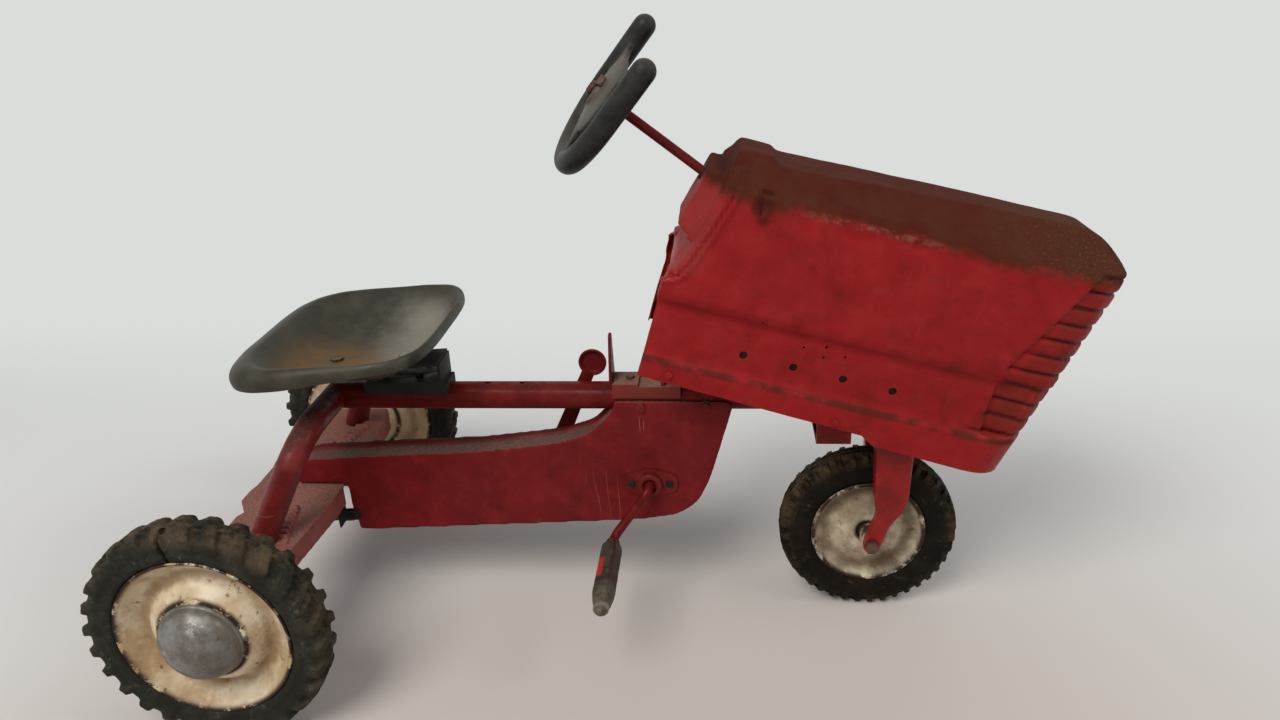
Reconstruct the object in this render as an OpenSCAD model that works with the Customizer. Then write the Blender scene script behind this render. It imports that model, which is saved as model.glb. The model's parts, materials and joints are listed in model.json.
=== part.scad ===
/* [Overall] */
// Radius of a rear tyre over its lugs, which is also the height of the rear axle
rear_tyre_r = 120.65; // [110:0.05:135]
// Radius of the front tyre over its tread, which is also the height of the front axle
front_tyre_r = 98; // [92:0.5:102]
// Distance from the rear axle forward to the steering axis
fork_x = 668; // [660:1:676]

/* [Main tube and rear arch] */
// Outside diameter of the main tube
beam_d = 30; // [26:0.5:32]
// Height of the centre of the main tube above the floor
beam_z = 260; // [255:1:265]
// Wall of the main tube and of the rear arch
tube_wall = 2; // [1.5:0.1:3]
// Outside diameter of the rear arch
arch_d = 28; // [24:0.5:30]
// Distance that the top of the arch stands in front of the rear axle
arch_x = 60; // [55:1:65]
// Half the distance between the two corners of the arch
arch_corner_y = 97; // [90:1:105]
// Bending radius of the arch at its centre line
arch_bend_r = 55; // [45:1:65]
// Angle that each leg of the arch spreads outwards
arch_splay = 21; // [15:1:25]
// Radius of the seat screw holes in the top of the main tube
adjust_hole_r = 3; // [2.6:0.1:3.5]
// Distance between neighbouring seat screw holes
adjust_pitch = 38; // [34:1:42]

/* [Axle housing] */
// Height of the top plate of the housing above the rear axle
housing_rise = 34; // [32:0.5:38]
// Depth of the front and rear walls of the housing
housing_wall_h = 24; // [18:1:26]
// Thickness of the housing's pressed sheet
housing_t = 2; // [1.5:0.1:2.5]
// Distance from the middle of the tractor to each end of the housing
housing_end_y = 180; // [174:1:184]
// Distance that the middle of the housing reaches in front of the axle
housing_front = 58; // [54:1:62]
// Distance that the middle of the housing reaches behind the axle
housing_back = 45; // [40:1:50]

/* [Rear wheels] */
// Diameter of the rear axle
axle_d = 12.7; // [11:0.1:14]
// Distance from the middle of the tractor to the middle of a rear tyre
wheel_y = 229; // [226:1:236]
// Width of a rear tyre
rear_tyre_w = 42; // [38:1:46]
// Radius of the rim of a rear wheel under its tyre
rear_seat_r = 84; // [80:0.5:88]
// Thickness of the wheel discs
disc_t = 1.6; // [1.2:0.1:2.2]
// Number of lugs in each of the two rows of a rear tyre
rear_lugs = 28; // [20:4:32]
// Height of the lugs of a rear tyre
lug_h = 6.5; // [4:0.5:8]
// Radius of a hub cap at its edge
cap_r = 41; // [36:0.5:44]
// Height of the dome of a hub cap
cap_h = 26; // [22:1:30]

/* [Front wheel and fork] */
// Distance that the front axle trails behind the steering axis
fork_trail = 17; // [12:1:20]
// Width of the front tyre
front_tyre_w = 37.5; // [34:0.5:40]
// Radius of the rim of the front wheel under its tyre
front_seat_r = 60; // [56:0.5:64]
// Number of tread blocks on each shoulder of the front tyre
front_blocks = 40; // [32:4:44]
// Diameter of the front axle bolt
front_axle_d = 9.5; // [8:0.5:11]
// Distance between the two legs of the fork
fork_gap = 56; // [52:1:60]
// Thickness of a leg of the fork at its top, across the tractor
fork_leg_t = 20; // [16:1:22]
// Width of a leg of the fork at its top
fork_leg_w = 40; // [34:1:42]
// Diameter of the kingpin
kingpin_d = 16; // [14:0.5:18]
// Height of the head tube
head_h = 72; // [68:1:76]

/* [Chain drive] */
// Pitch of the roller chain
chain_pitch = 12.7; // [12.6:0.1:12.8]
// Links in the chain
chain_links = 80; // [80:2:80]
// Teeth on the crank sprocket
crank_teeth = 20; // [20:1:20]
// Teeth on the axle sprocket
axle_teeth = 10; // [10:1:10]
// Height of the crank above the floor
crank_z = 162.7; // [161:0.1:165]
// Distance from the middle of the crank to the middle of a pedal
crank_r = 67; // [60:1:74]
// Angle of the right pedal behind the lowest point, as the tractor stands
crank_rest = 37; // [0:1:60]
// Diameter of the bent crank rod
crank_d = 10; // [9:0.1:11]
// Length of a pedal
pedal_len = 108; // [90:1:110]
// Thickness of a pedal
pedal_t = 24; // [20:1:27]

/* [Chain case] */
// Outside width of the chain case
case_w = 40; // [37:0.5:44]
// Thickness of the chain case's sheet
case_t = 1.5; // [1:0.1:2]
// Distance of the seam from the middle of the tractor, towards its left
case_seam_y = 10; // [6:1:14]

/* [Hood] */
// Half the width of the hood over its side panels
hood_half_w = 80; // [77:1:84]
// Angle that the hood slopes down to the front
hood_tilt = 15; // [14:0.5:16]
// Thickness of the hood's sheet
hood_t = 1.5; // [1:0.1:2]
// Radius of the hood's front corners, seen from above
nose_r = 45; // [38:1:52]
// Distance that the ribbed grille is set in behind the side panels
grille_inset = 3.5; // [2.5:0.5:5]
// Depth of the grooves between the ribs of the grille
groove_depth = 3; // [2:0.5:4]
// Number of grooves between the ribs of the grille
grille_grooves = 9; // [7:1:10]
// Radius of the trim holes in the hood's sides
trim_hole_r = 4; // [3:0.1:5]
// Distance between the trim holes
trim_pitch = 50; // [46:1:51]
// Distance that the middle of the dash bulges towards the rider
dash_bulge = 18; // [14:1:20]

/* [Seat] */
// Length of the seat pan
seat_len = 190; // [180:1:200]
// Width of the seat pan
seat_w = 248; // [230:1:260]
// Height of the seat's rim above its lowest point
seat_depth = 44; // [38:1:46]
// Thickness of the seat's sheet
seat_t = 2; // [1.5:0.1:2.5]
// Distance from the rear axle forward to the middle of the seat
seat_x = 103; // [98:1:108]
// Angle that the seat rises to the front
seat_tilt = 3.4; // [2:0.1:5]

/* [Steering] */
// Diameter of the steering rod
column_d = 9.5; // [8:0.5:10]
// Angle of the steering rod below the horizontal
column_angle = 37.85; // [37:0.05:39]
// Distance that the lower end of the steering rod is cranked from its axis
column_throw = 64; // [60:1:66]
// Radius of the steering wheel's rim at its centre line
wheel_rim_r = 71; // [66:1:76]
// Thickness of the steering wheel's rim
wheel_rim_d = 23; // [19:0.5:25]
// Length of the straight arms of the steering wheel above its hub
wheel_arm = 61; // [55:1:66]
// Angle that the steering wheel is turned on its rod, as the tractor stands
wheel_turn = 7; // [0:1:10]
// Angle that the left side of the steering wheel is bent up from its hub
wheel_lean = 10; // [0:1:12]

/* [Lever] */
// Radius of the lever's dished end
lever_cup_r = 15.5; // [13:0.5:17]
// Length of the lever from its pivot to its dished end
lever_len = 115; // [105:1:120]
// Angle that the lever leans forward, as the tractor stands
lever_lean = 24; // [20:1:26]

/* [Fits] */
// Radial clearance of a shaft in its bearing
run_fit = 0.05; // [0.02:0.01:0.08]
// Gap between pieces that are seated on each other
seat_gap = 0.1; // [0.05:0.05:0.2]
// Gap between pieces that slide past each other
move_gap = 0.5; // [0.3:0.1:0.8]

/* [Hidden] */
$fn = 64;
big = 1000;
hair = 0.2;
red = [0.55, 0.1, 0.1];
brown = [0.35, 0.2, 0.15];
cream = [0.85, 0.75, 0.5];
black = [0.1, 0.1, 0.1];
steel = [0.6, 0.6, 0.6];

function unit(v) = v / norm(v);
function flat(p) = [p[0], p[1]];
function before(pts, i) = pts[(i + len(pts) - 1) % len(pts)];
function after(pts, i) = pts[(i + 1) % len(pts)];
// Points of a rounded corner b between a and c
function corner(a, b, c, r, n) =
    let (u = unit(flat(a) - flat(b)), v = unit(flat(c) - flat(b)), half = acos(u * v) / 2)
    let (middle = flat(b) + unit(u + v) * r / sin(half), reach = r / tan(half))
    let (p = flat(b) + u * reach - middle, q = flat(b) + v * reach - middle)
    let (start = atan2(p[1], p[0]), turn = (atan2(q[1], q[0]) - start + 540) % 360 - 180)
    [for (i = [0:n]) middle + r * [cos(start + turn * i / n), sin(start + turn * i / n)]];
// Outline with rounded corners from points [x, y, radius]
function round_poly(pts, n = 6) =
    [for (i = [0:len(pts) - 1])
        each pts[i][2] > 0 ? corner(before(pts, i), pts[i], after(pts, i), pts[i][2], n)
            : [flat(pts[i])]];
function inward(a, b) = let (d = unit(flat(b) - flat(a))) [-d[1], d[0]];
// The same outline moved inwards by t, for points that run anticlockwise
function inset_poly(pts, t) =
    [for (i = [0:len(pts) - 1])
        let (a = before(pts, i), b = pts[i], c = after(pts, i))
        let (m = inward(a, b), n = inward(b, c), q = flat(b) + t / (1 + m * n) * (m + n))
        let (convex = cross(flat(b) - flat(a), flat(c) - flat(b)) > 0)
        let (r = convex ? b[2] - t : b[2] + t)
        [q[0], q[1], b[2] > 0 && r > 0.5 ? r : 0]];
function mirrored(pts) =
    concat(pts, [for (i = [len(pts) - 1:-1:0]) [-pts[i][0], pts[i][1], pts[i][2]]]);

// Flat shape given in x and z, thick from y0 to y1
module plate_y(y0, y1) translate([0, y1, 0]) rotate([90, 0, 0]) linear_extrude(y1 - y0) children();
// Flat shape given in y and z, thick from x0 to x1
module plate_x(x0, x1) translate([x0, 0, 0]) rotate([90, 0, 90]) linear_extrude(x1 - x0) children();
module rod_y(d, y0, y1) translate([0, y0, 0]) rotate([-90, 0, 0]) cylinder(h = y1 - y0, d = d);
module rod_x(d, x0, x1) translate([x0, 0, 0]) rotate([0, 90, 0]) cylinder(h = x1 - x0, d = d);
module turned_y() rotate([-90, 0, 0]) rotate_extrude() children();
module block(low, high) translate(low) cube(high - low);
module both_sides() {
    children();
    mirror([0, 1, 0]) children();
}
// Rod bent by steps [straight length, angle, bending radius, roll before the bend]; the bends are
// thicker by a hair, so that every straight length ends inside them
module bent_rod(d, steps, i = 0) {
    if (i < len(steps)) {
        run = steps[i][0];
        turn = steps[i][1];
        r = steps[i][2];
        translate([0, 0, -hair]) cylinder(h = run + 2 * hair, d = d);
        translate([0, 0, run]) rotate([0, 0, steps[i][3]]) {
            if (turn > 0) translate([r, 0, 0]) rotate([90, 0, 180])
                rotate_extrude(angle = turn) translate([r, 0]) circle(d = d + hair);
            translate([r * (1 - cos(turn)), 0, r * sin(turn)]) rotate([0, turn, 0])
                bent_rod(d, steps, i + 1);
        }
    }
}

axle_z = rear_tyre_r;
housing_top = axle_z + housing_rise;
head_top = beam_z - 22 + head_h;
head_low = beam_z - 22;
head_d = kingpin_d + 10;

// Chain path: pitch radii, distance of the shafts, and one roller after each pitch
axle_pitch_r = chain_pitch / 2 / sin(180 / axle_teeth);
crank_pitch_r = chain_pitch / 2 / sin(180 / crank_teeth);
step_r = crank_pitch_r - axle_pitch_r;
more_teeth = crank_teeth - axle_teeth;
loose = chain_links - (axle_teeth + crank_teeth) / 2;
function shaft_gap(a) = norm([chain_pitch / 2 * (loose - a / 180 * more_teeth), step_r]);
wrap_1 = asin(step_r / shaft_gap(0));
wrap_2 = asin(step_r / shaft_gap(wrap_1));
wrap = asin(step_r / shaft_gap(wrap_2));
chain_c = shaft_gap(wrap);
crank_x = sqrt(pow(chain_c, 2) - pow(crank_z - axle_z, 2));
chain_rise = atan2(crank_z - axle_z, crank_x);
top_angle = chain_rise + wrap;
low_angle = chain_rise - wrap;
run_links = chain_c * cos(wrap) / chain_pitch;
crank_wrap = crank_teeth * (180 + 2 * wrap) / 360;
function on_circle(r, a) = [r * cos(a), r * sin(a)];
crank_at = [crank_x, crank_z];
axle_at = [0, axle_z];
function roller(s) =
    s < run_links ? axle_at + on_circle(axle_pitch_r, 90 + top_angle) + s * on_circle(chain_pitch, top_angle)
    : s < run_links + crank_wrap
        ? crank_at + on_circle(crank_pitch_r, 90 + top_angle - (s - run_links) * 360 / crank_teeth)
    : s < 2 * run_links + crank_wrap
        ? crank_at + on_circle(crank_pitch_r, low_angle - 90)
            - (s - run_links - crank_wrap) * on_circle(chain_pitch, low_angle)
    : axle_at + on_circle(axle_pitch_r,
        low_angle - 90 - (s - 2 * run_links - crank_wrap) * 360 / axle_teeth);
crank_phase = 90 + top_angle - (ceil(run_links) - run_links) * 360 / crank_teeth;
axle_phase = low_angle - 90
    - (ceil(2 * run_links + crank_wrap) - 2 * run_links - crank_wrap) * 360 / axle_teeth;
roller_d = 7.9;
link_h = 10.6;
link_t = 1.2;
inner_link_y = 3;
outer_link_y = inner_link_y + link_t + 0.3;

// Hood in its own slope: distance forward and height from the foot of its rear edge
hood_x = crank_x;
hood_z = beam_z + 61.5;
nose_front = 421;
chin_front = 387;
nose_slant = atan2(nose_front - chin_front, 190 - 11);
nose_top_r = 30;
function hood_side(drop) = [
    [-4, -3 - drop, 0], [227, -10 - drop, 0], [240, -18 - drop, 4], [383, -22 - drop, 5],
    [388, -12 - drop, 3], [chin_front, 11, 0],
    [nose_front, 190, 60], [nose_front + 6, 226, nose_top_r], [300, 228, 0], [200, 225, 0],
    [80, 220, 4], [73, 226, 4], [40, 226.5, 4], [36, 214, 0], [26, 162, 0], [12, 122, 6],
    [6, 112, 6], [-2, 96, 8]
];
// The rounded top of the nose sets the whole length
nose_corner = inset_poly(hood_side(0), nose_top_r)[7];
nose_reach = hood_x + nose_corner[0] * cos(hood_tilt) + nose_corner[1] * sin(hood_tilt) + nose_top_r;
axle_x = (rear_tyre_r - nose_reach) / 2;
// Draws a piece in the tractor's frame, from measures taken at the rear axle
module from_axle(paint) color(paint) translate([axle_x, 0, 0]) children();
module in_hood() translate([hood_x, 0, hood_z]) rotate([0, hood_tilt, 0]) children();

// Steering rod: a point on its axis, its slope and its cranked lower end
column_rise = 297.9;
column_top = [399.6, beam_z + column_rise];
column_dir = [cos(column_angle), -sin(column_angle)];
arm_t = 3;
arm_z = head_top + 8;
pin_run = 22;
pin_d = 8;
slot_x = fork_x - (column_throw / sin(column_angle)
    - ((column_top[1] - arm_z) / tan(column_angle) + column_top[0] - fork_x));
pin_corner = [slot_x, arm_z] - pin_run * column_dir;
throw_dir = [-column_dir[1], column_dir[0]];
column_corner = pin_corner + column_throw * [sin(column_angle), cos(column_angle)];
column_len = (column_corner[0] - column_top[0]) / column_dir[0];
column_bend_r = 12;
module on_column(s) translate([column_top[0] + s * column_dir[0], 0, column_top[1] + s * column_dir[1]])
    rotate([0, 90 + column_angle, 0]) children();

module main_beam() from_axle(red) difference() {
    translate([0, 0, beam_z]) rod_x(beam_d, arch_x, fork_x);
    translate([0, 0, beam_z]) rod_x(beam_d - 2 * tube_wall, arch_x - 1, fork_x + 1);
    translate([arch_x, 0, beam_z]) rod_y(arch_d + 2 * seat_gap, -beam_d, beam_d);
    translate([fork_x, 0, head_low]) cylinder(h = head_h, d = head_d + 2 * seat_gap);
    for (i = [0, 1, 3, 4]) translate([saddle_hole_x + i * adjust_pitch, 0, beam_z])
        cylinder(h = beam_d, r = adjust_hole_r);
    for (x = case_bolt_x) translate([x, 0, case_bolt_z]) rod_y(case_bolt_d + 2 * seat_gap, -beam_d, beam_d);
    for (x = strap_screw_x) translate([x, 0, beam_z]) cylinder(h = beam_d, r = adjust_hole_r);
    translate([cross_x, 0, beam_z - beam_d]) cylinder(h = beam_d, r = adjust_hole_r);
}

module head_tube() from_axle(red) translate([fork_x, 0, head_low]) difference() {
    cylinder(h = head_h, d = head_d);
    translate([0, 0, -1]) cylinder(h = head_h + 2, d = kingpin_d + 2 * run_fit);
}

arch_tilt = atan2(arch_x, beam_z - axle_z);
arch_top = norm([arch_x, beam_z - axle_z]);
arch_bend = 90 - arch_splay;
arch_cut = arch_bend_r * tan(arch_bend / 2);
arch_leg = (arch_top - housing_rise * 0.6) / cos(arch_splay) - arch_cut;
arch_foot_y = arch_corner_y + (arch_leg + arch_cut) * sin(arch_splay);
arch_steps = [
    [arch_leg, arch_bend, arch_bend_r, 0], [2 * (arch_corner_y - arch_cut), arch_bend, arch_bend_r, 0],
    [arch_leg, 0, 0, 0]
];
module arch_rod(d) rotate([0, arch_tilt, 0]) translate([0, arch_foot_y, housing_rise * 0.6])
    rotate([0, 0, -90]) rotate([0, arch_splay, 0]) bent_rod(d, arch_steps);
module rear_arch() from_axle(red) difference() {
    translate([0, 0, axle_z]) arch_rod(arch_d);
    translate([0, 0, axle_z]) arch_rod(arch_d - 2 * tube_wall);
    block([-big, -big, 0], [big, big, housing_top + seat_gap]);
}
// Room for the straight feet of the arch above the top plate of the housing
module arch_feet(d) intersection() {
    both_sides() translate([0, 0, axle_z]) rotate([0, arch_tilt, 0])
        translate([0, -arch_foot_y, housing_rise * 0.6]) rotate([-arch_splay, 0, 0])
            cylinder(h = arch_leg, d = d);
    block([-big, -big, housing_top], [big, big, big]);
}

ear_r = 17;
bush_d = 19;
bush_flange_d = 25;
bush_len = 14;
notch_y = 11;
case_back = housing_front + 2.2;
housing_pts = [
    [-29, -housing_end_y, 8], [43, -housing_end_y, 8], [49, -165, 6], [housing_front, -52, 20],
    [housing_front, 52, 20], [49, 165, 6], [43, housing_end_y, 8], [-29, housing_end_y, 8],
    [-31, 112, 10], [-38, 104, 8], [-38, 86, 8], [-33, 78, 8], [-36, 66, 8], [-housing_back - 3, 56, 10],
    [-housing_back - 3, 34, 10], [-housing_back, 20, 6], [-housing_back, -20, 6],
    [-housing_back - 3, -34, 10], [-housing_back - 3, -56, 10], [-36, -66, 8], [-33, -78, 8],
    [-38, -86, 8], [-38, -104, 8], [-31, -112, 10]
];
pad_pts = [[2, 68, 5], [27, 68, 5], [44, 142, 4], [29, 142, 4]];
pad_h = 3;
module axle_housing() from_axle(red) difference() {
    union() {
        difference() {
            translate([0, 0, housing_top - housing_wall_h]) linear_extrude(housing_wall_h)
                polygon(round_poly(housing_pts));
            translate([0, 0, housing_top - housing_wall_h - 1]) linear_extrude(housing_wall_h + 1 - housing_t)
                polygon(round_poly(inset_poly(housing_pts, housing_t)));
        }
        both_sides() {
            plate_y(housing_end_y - housing_t, housing_end_y) polygon(round_poly([
                [-ear_r, axle_z - ear_r, 14], [ear_r, axle_z - ear_r, 14],
                [38, housing_top - housing_t, 0], [-24, housing_top - housing_t, 0]
            ]));
            translate([0, 0, housing_top - housing_t]) linear_extrude(housing_t + pad_h)
                polygon(round_poly(pad_pts));
            for (i = [0:6]) block([5 + i * 3.2, 74 + i * 9, housing_top],
                [28 + i * 2, 77 + i * 9, housing_top + pad_h + 1.2]);
        }
    }
    translate([0, 0, axle_z]) rod_y(bush_d + 2 * seat_gap, -big, big);
    block([20, -notch_y, axle_z], [big, notch_y, housing_top + 1]);
    block([40, -21, axle_z], [big, 21, housing_top - housing_t]);
    both_sides() for (x = [9, 19]) block([x, 62, axle_z], [x + 5, 76, housing_top + pad_h + 1]);
    arch_feet(arch_d + 2 * seat_gap);
}

module bush() translate([0, 0, axle_z]) difference() {
    union() {
        rod_y(bush_d, housing_end_y - bush_len, housing_end_y);
        rod_y(bush_flange_d, housing_end_y + seat_gap, housing_end_y + 4);
        rod_y(bush_d, housing_end_y - 1, housing_end_y + 1);
    }
    rod_y(axle_d + 2 * run_fit, housing_end_y - bush_len - 1, housing_end_y + 5);
}
module axle_bush_left() from_axle(steel) bush();
module axle_bush_right() from_axle(steel) mirror([0, 1, 0]) bush();

// A rear wheel, measured outwards from the middle of its tyre
cap_seat = 17;
hub_back = 24;
axle_end = wheel_y + cap_seat + 11;
pin_bore_d = 5;
pin_y = wheel_y - hub_back + 9;
module rear_axle() from_axle(steel) translate([0, 0, axle_z]) difference() {
    rod_y(axle_d, -axle_end, axle_end);
    translate([0, -pin_y, -axle_d]) cylinder(h = 2 * axle_d, d = pin_bore_d);
    translate([0, 0, -axle_d]) cylinder(h = 2 * axle_d, d = pin_bore_d);
}
module axle_spacers() from_axle(steel) translate([0, 0, axle_z]) both_sides() difference() {
    rod_y(bush_d, housing_end_y + 4 + seat_gap, wheel_y - hub_back - seat_gap);
    rod_y(axle_d + 2 * run_fit, housing_end_y, wheel_y);
}
// Each gap between the teeth seats a roller, and is wider above it to let the roller leave
tooth_h = 2.4;
roller_fit = 0.2;
gap_relief = 1.7;
module sprocket(teeth, pitch_r, phase, bore, hub_d, hub_w) difference() {
    union() {
        plate_y(-1.5, 1.5) difference() {
            circle(r = pitch_r + tooth_h);
            for (i = [0:teeth - 1]) rotate(phase + i * 360 / teeth) translate([pitch_r, 0]) {
                circle(d = roller_d + 2 * roller_fit, $fn = 32);
                translate([gap_relief + 0.3, 0]) circle(d = roller_d + 2 * gap_relief, $fn = 32);
            }
        }
        rod_y(hub_d, -hub_w, hub_w);
    }
    rod_y(bore, -big, big);
    translate([0, 0, -big]) cylinder(h = 2 * big, d = pin_bore_d);
}
sprocket_hub_d = 24;
module axle_sprocket() from_axle(brown) translate([0, 0, axle_z])
    sprocket(axle_teeth, axle_pitch_r, axle_phase, axle_d + 2 * seat_gap, sprocket_hub_d, 9);
module cross_pin() cylinder(h = sprocket_hub_d, d = pin_bore_d - 2 * seat_gap, center = true);
module axle_pin() from_axle(steel) translate([0, 0, axle_z]) cross_pin();

disc_pts = [
    [rear_seat_r + 2.6, 15], [rear_seat_r + 2.6, 17], [rear_seat_r, 17.2], [rear_seat_r - 2, 15],
    [rear_seat_r - 4, 10], [rear_seat_r - 10, 3], [rear_seat_r - 16, -1], [rear_seat_r - 22, -1.6],
    [rear_seat_r - 25, 0], [rear_seat_r - 27, 4.5], [cap_r + 9, 10], [cap_r + 3, 16], [cap_r - 2, cap_seat],
    [13, cap_seat]
];
back_disc_w = -14;
module wheel_rim(bore) difference() {
    union() {
        turned_y() polygon(concat(disc_pts, [[13, cap_seat - disc_t]], [
            [cap_r - 3, cap_seat - disc_t], [cap_r + 2, 14], [cap_r + 8, 8], [rear_seat_r - 28.4, 3],
            [rear_seat_r - 26.4, -1.4], [rear_seat_r - 22.6, -3.2], [rear_seat_r - 15.4, -2.8],
            [rear_seat_r - 9, 1.6], [rear_seat_r - disc_t, 10], [rear_seat_r - disc_t, -13],
            [rear_seat_r - 2, back_disc_w], [40, back_disc_w], [34, -hub_back + 6], [13, -hub_back + 6],
            [13, -hub_back + 4], [35, -hub_back + 4], [41, back_disc_w - 2],
            [rear_seat_r - 2, back_disc_w - 2],
            [rear_seat_r, -17.2], [rear_seat_r + 2.6, -17], [rear_seat_r + 2.6, -15], [rear_seat_r, -13],
            [rear_seat_r, 13]
        ]));
        rod_y(26, -hub_back, cap_seat);
    }
    rod_y(bore, -big, big);
}
module on_left() translate([0, wheel_y, axle_z]) children();
module on_right() mirror([0, 1, 0]) on_left() children();
module rear_rim_left() from_axle(cream) on_left() wheel_rim(axle_d + 2 * run_fit);
module rear_rim_right() from_axle(cream) on_right() difference() {
    wheel_rim(axle_d + 2 * seat_gap);
    translate([0, pin_y - wheel_y, -20]) cylinder(h = 40, d = pin_bore_d);
}

tread_r = rear_tyre_r - lug_h;
half_w = rear_tyre_w / 2;
carcass_pts = [
    [rear_seat_r + seat_gap, -13, 0], [rear_seat_r + 3, -14, 0], [rear_seat_r + 5, -16, 2],
    [rear_seat_r + 14, -half_w + 1, 8], [tread_r - 6, -half_w + 2, 8], [tread_r, -12, 10],
    [tread_r, 12, 10], [tread_r - 6, half_w - 2, 8], [rear_seat_r + 14, half_w - 1, 8],
    [rear_seat_r + 5, 16, 2], [rear_seat_r + 3, 14, 0], [rear_seat_r + seat_gap, 13, 0]
];
module lug(side) mirror([0, side, 0]) translate([0, 0, tread_r - 5]) rotate([0, 0, 28])
    block([-3.6, -0.5, 0], [3.6, half_w + 8, lug_h + 6]);
module rear_tyre() {
    turned_y() polygon(round_poly(carcass_pts));
    intersection() {
        turned_y() polygon(round_poly([
            [tread_r - 14, -half_w, 2], [tread_r + lug_h - 7, -half_w, 4], [rear_tyre_r, -half_w + 7, 0],
            [rear_tyre_r, half_w - 7, 0], [tread_r + lug_h - 7, half_w, 4], [tread_r - 14, half_w, 2]
        ]));
        union() for (i = [0:rear_lugs - 1]) {
            rotate([0, i * 360 / rear_lugs, 0]) lug(0);
            rotate([0, (i + 0.5) * 360 / rear_lugs, 0]) lug(1);
        }
    }
}
module rear_tyre_left() from_axle(black) on_left() rear_tyre();
module rear_tyre_right() from_axle(black) on_right() rear_tyre();

cap_t = 1;
cap_low = cap_seat + seat_gap;
cap_curve = (pow(cap_r, 2) + pow(cap_h, 2)) / 2 / cap_h;
cap_span = asin(cap_r / cap_curve);
function dome_at(r, turn) = [r * sin(turn), cap_h - cap_curve + r * cos(turn)];
function dome(r, steps) = [for (i = steps) dome_at(r, cap_span * i / 16)];
module cap() translate([0, cap_low, 0]) turned_y() intersection() {
    polygon(concat(dome(cap_curve, [0:16]), dome(cap_curve - cap_t, [16:-1:0])));
    square([big, big]);
}
module hub_cap_left() from_axle(steel) on_left() cap();
module hub_cap_right() from_axle(steel) on_right() cap();
module drive_pin() from_axle(steel) translate([0, -pin_y, axle_z])
    cylinder(h = 32, d = pin_bore_d - 2 * seat_gap, center = true);
nut_w = 6;
module axle_nut() on_left() translate([0, cap_seat + seat_gap, 0]) difference() {
    union() {
        rod_y(22, 0, 1.5);
        rotate([-90, 0, 0]) cylinder(h = nut_w + 1.5, r = 9.5, $fn = 6);
    }
    rod_y(axle_d + 2 * seat_gap, -1, nut_w + 3);
}
module axle_nut_left() from_axle(brown) axle_nut();
module axle_nut_right() from_axle(brown) mirror([0, 1, 0]) axle_nut();

function link_pts(a, b) =
    let (u = unit(b - a), v = [-u[1], u[0]], h = link_h / 2)
    [for (k = [0:5]) b + h * (cos(-75 + 30 * k) * u + sin(-75 + 30 * k) * v),
        for (k = [0:5]) a + h * (cos(105 + 30 * k) * u + sin(105 + 30 * k) * v)];
module chain() from_axle(brown) {
    for (i = [0:chain_links - 1]) {
        a = roller(i);
        b = roller((i + 1) % chain_links);
        y = i % 2 == 0 ? inner_link_y : outer_link_y;
        both_sides() plate_y(y, y + link_t) polygon(link_pts(a, b));
        translate([a[0], 0, a[1]]) rotate([90, 0, 0]) {
            cylinder(h = 2 * inner_link_y + 0.6, d = roller_d, center = true, $fn = 12);
            cylinder(h = 2 * (outer_link_y + link_t) + 1, d = 3.6, center = true, $fn = 6);
        }
    }
}

// Crank: bent out at both ends to the pedal spindles
arm_bend = 80;
arm_bend_r = 12;
flange_out = 6;
crank_mid = case_w / 2 + flange_out + 1;
arm_run = (crank_r - 2 * arm_bend_r * (1 - cos(arm_bend))) / sin(arm_bend);
arm_out = 2 * arm_bend_r * sin(arm_bend) + arm_run * cos(arm_bend);
pedal_y = crank_mid + arm_out + 3;
spindle_end = pedal_y + pedal_len + 7;
spindle_run = spindle_end - crank_mid - arm_out;
crank_steps = [
    [spindle_run, arm_bend, arm_bend_r, 0], [arm_run, arm_bend, arm_bend_r, 180],
    [2 * crank_mid, arm_bend, arm_bend_r, 180], [arm_run, arm_bend, arm_bend_r, 180],
    [spindle_run, 0, 0, 0]
];
module at_crank() translate([crank_x, 0, crank_z]) children();
module crank() from_axle(red) at_crank() rotate([0, crank_rest - 180, 0]) difference() {
    union() {
        translate([0, spindle_end, -crank_r]) rotate([90, 0, 0]) rotate([0, 0, 90])
            bent_rod(crank_d, crank_steps);
        translate([0, 0, crank_r]) rod_y(crank_d + 5, -pedal_y + 0.5, -pedal_y + 2);
        translate([0, 0, -crank_r]) rod_y(crank_d + 5, pedal_y - 2, pedal_y - 0.5);
    }
    rotate([0, 180 - crank_rest, 0]) cylinder(h = 2 * crank_d, d = pin_bore_d, center = true);
}
module crank_sprocket() from_axle(brown) at_crank()
    sprocket(crank_teeth, crank_pitch_r, crank_phase, crank_d + 2 * seat_gap, sprocket_hub_d, 8);
module crank_pin() from_axle(steel) at_crank() cross_pin();
module flange() at_crank() difference() {
    union() {
        plate_y(case_w / 2 + seat_gap, case_w / 2 + 2.5)
            polygon(round_poly([[-30, -9, 8], [-6, -17, 14], [6, -17, 14], [30, -9, 8], [30, 9, 8],
                [6, 17, 14], [-6, 17, 14], [-30, 9, 8]]));
        rod_y(crank_d + 12, case_w / 2 + 2, case_w / 2 + flange_out);
        rod_y(crank_d + 6, case_w / 2 - 8, case_w / 2 + 2);
    }
    rod_y(crank_d + 2 * run_fit, 0, big);
    for (x = [-21, 21]) translate([x, 0, 0]) rod_y(4 + 2 * seat_gap, 0, big);
}
module crank_flange_left() from_axle(red) flange();
module crank_flange_right() from_axle(red) mirror([0, 1, 0]) flange();
module flange_screws() from_axle(brown) both_sides() at_crank() for (x = [-21, 21]) translate([x, 0, 0]) {
    rod_y(4, case_w / 2 - case_t - 4, case_w / 2 + 3);
    rod_y(8, case_w / 2 + 2.5 + seat_gap, case_w / 2 + 5);
}
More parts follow.
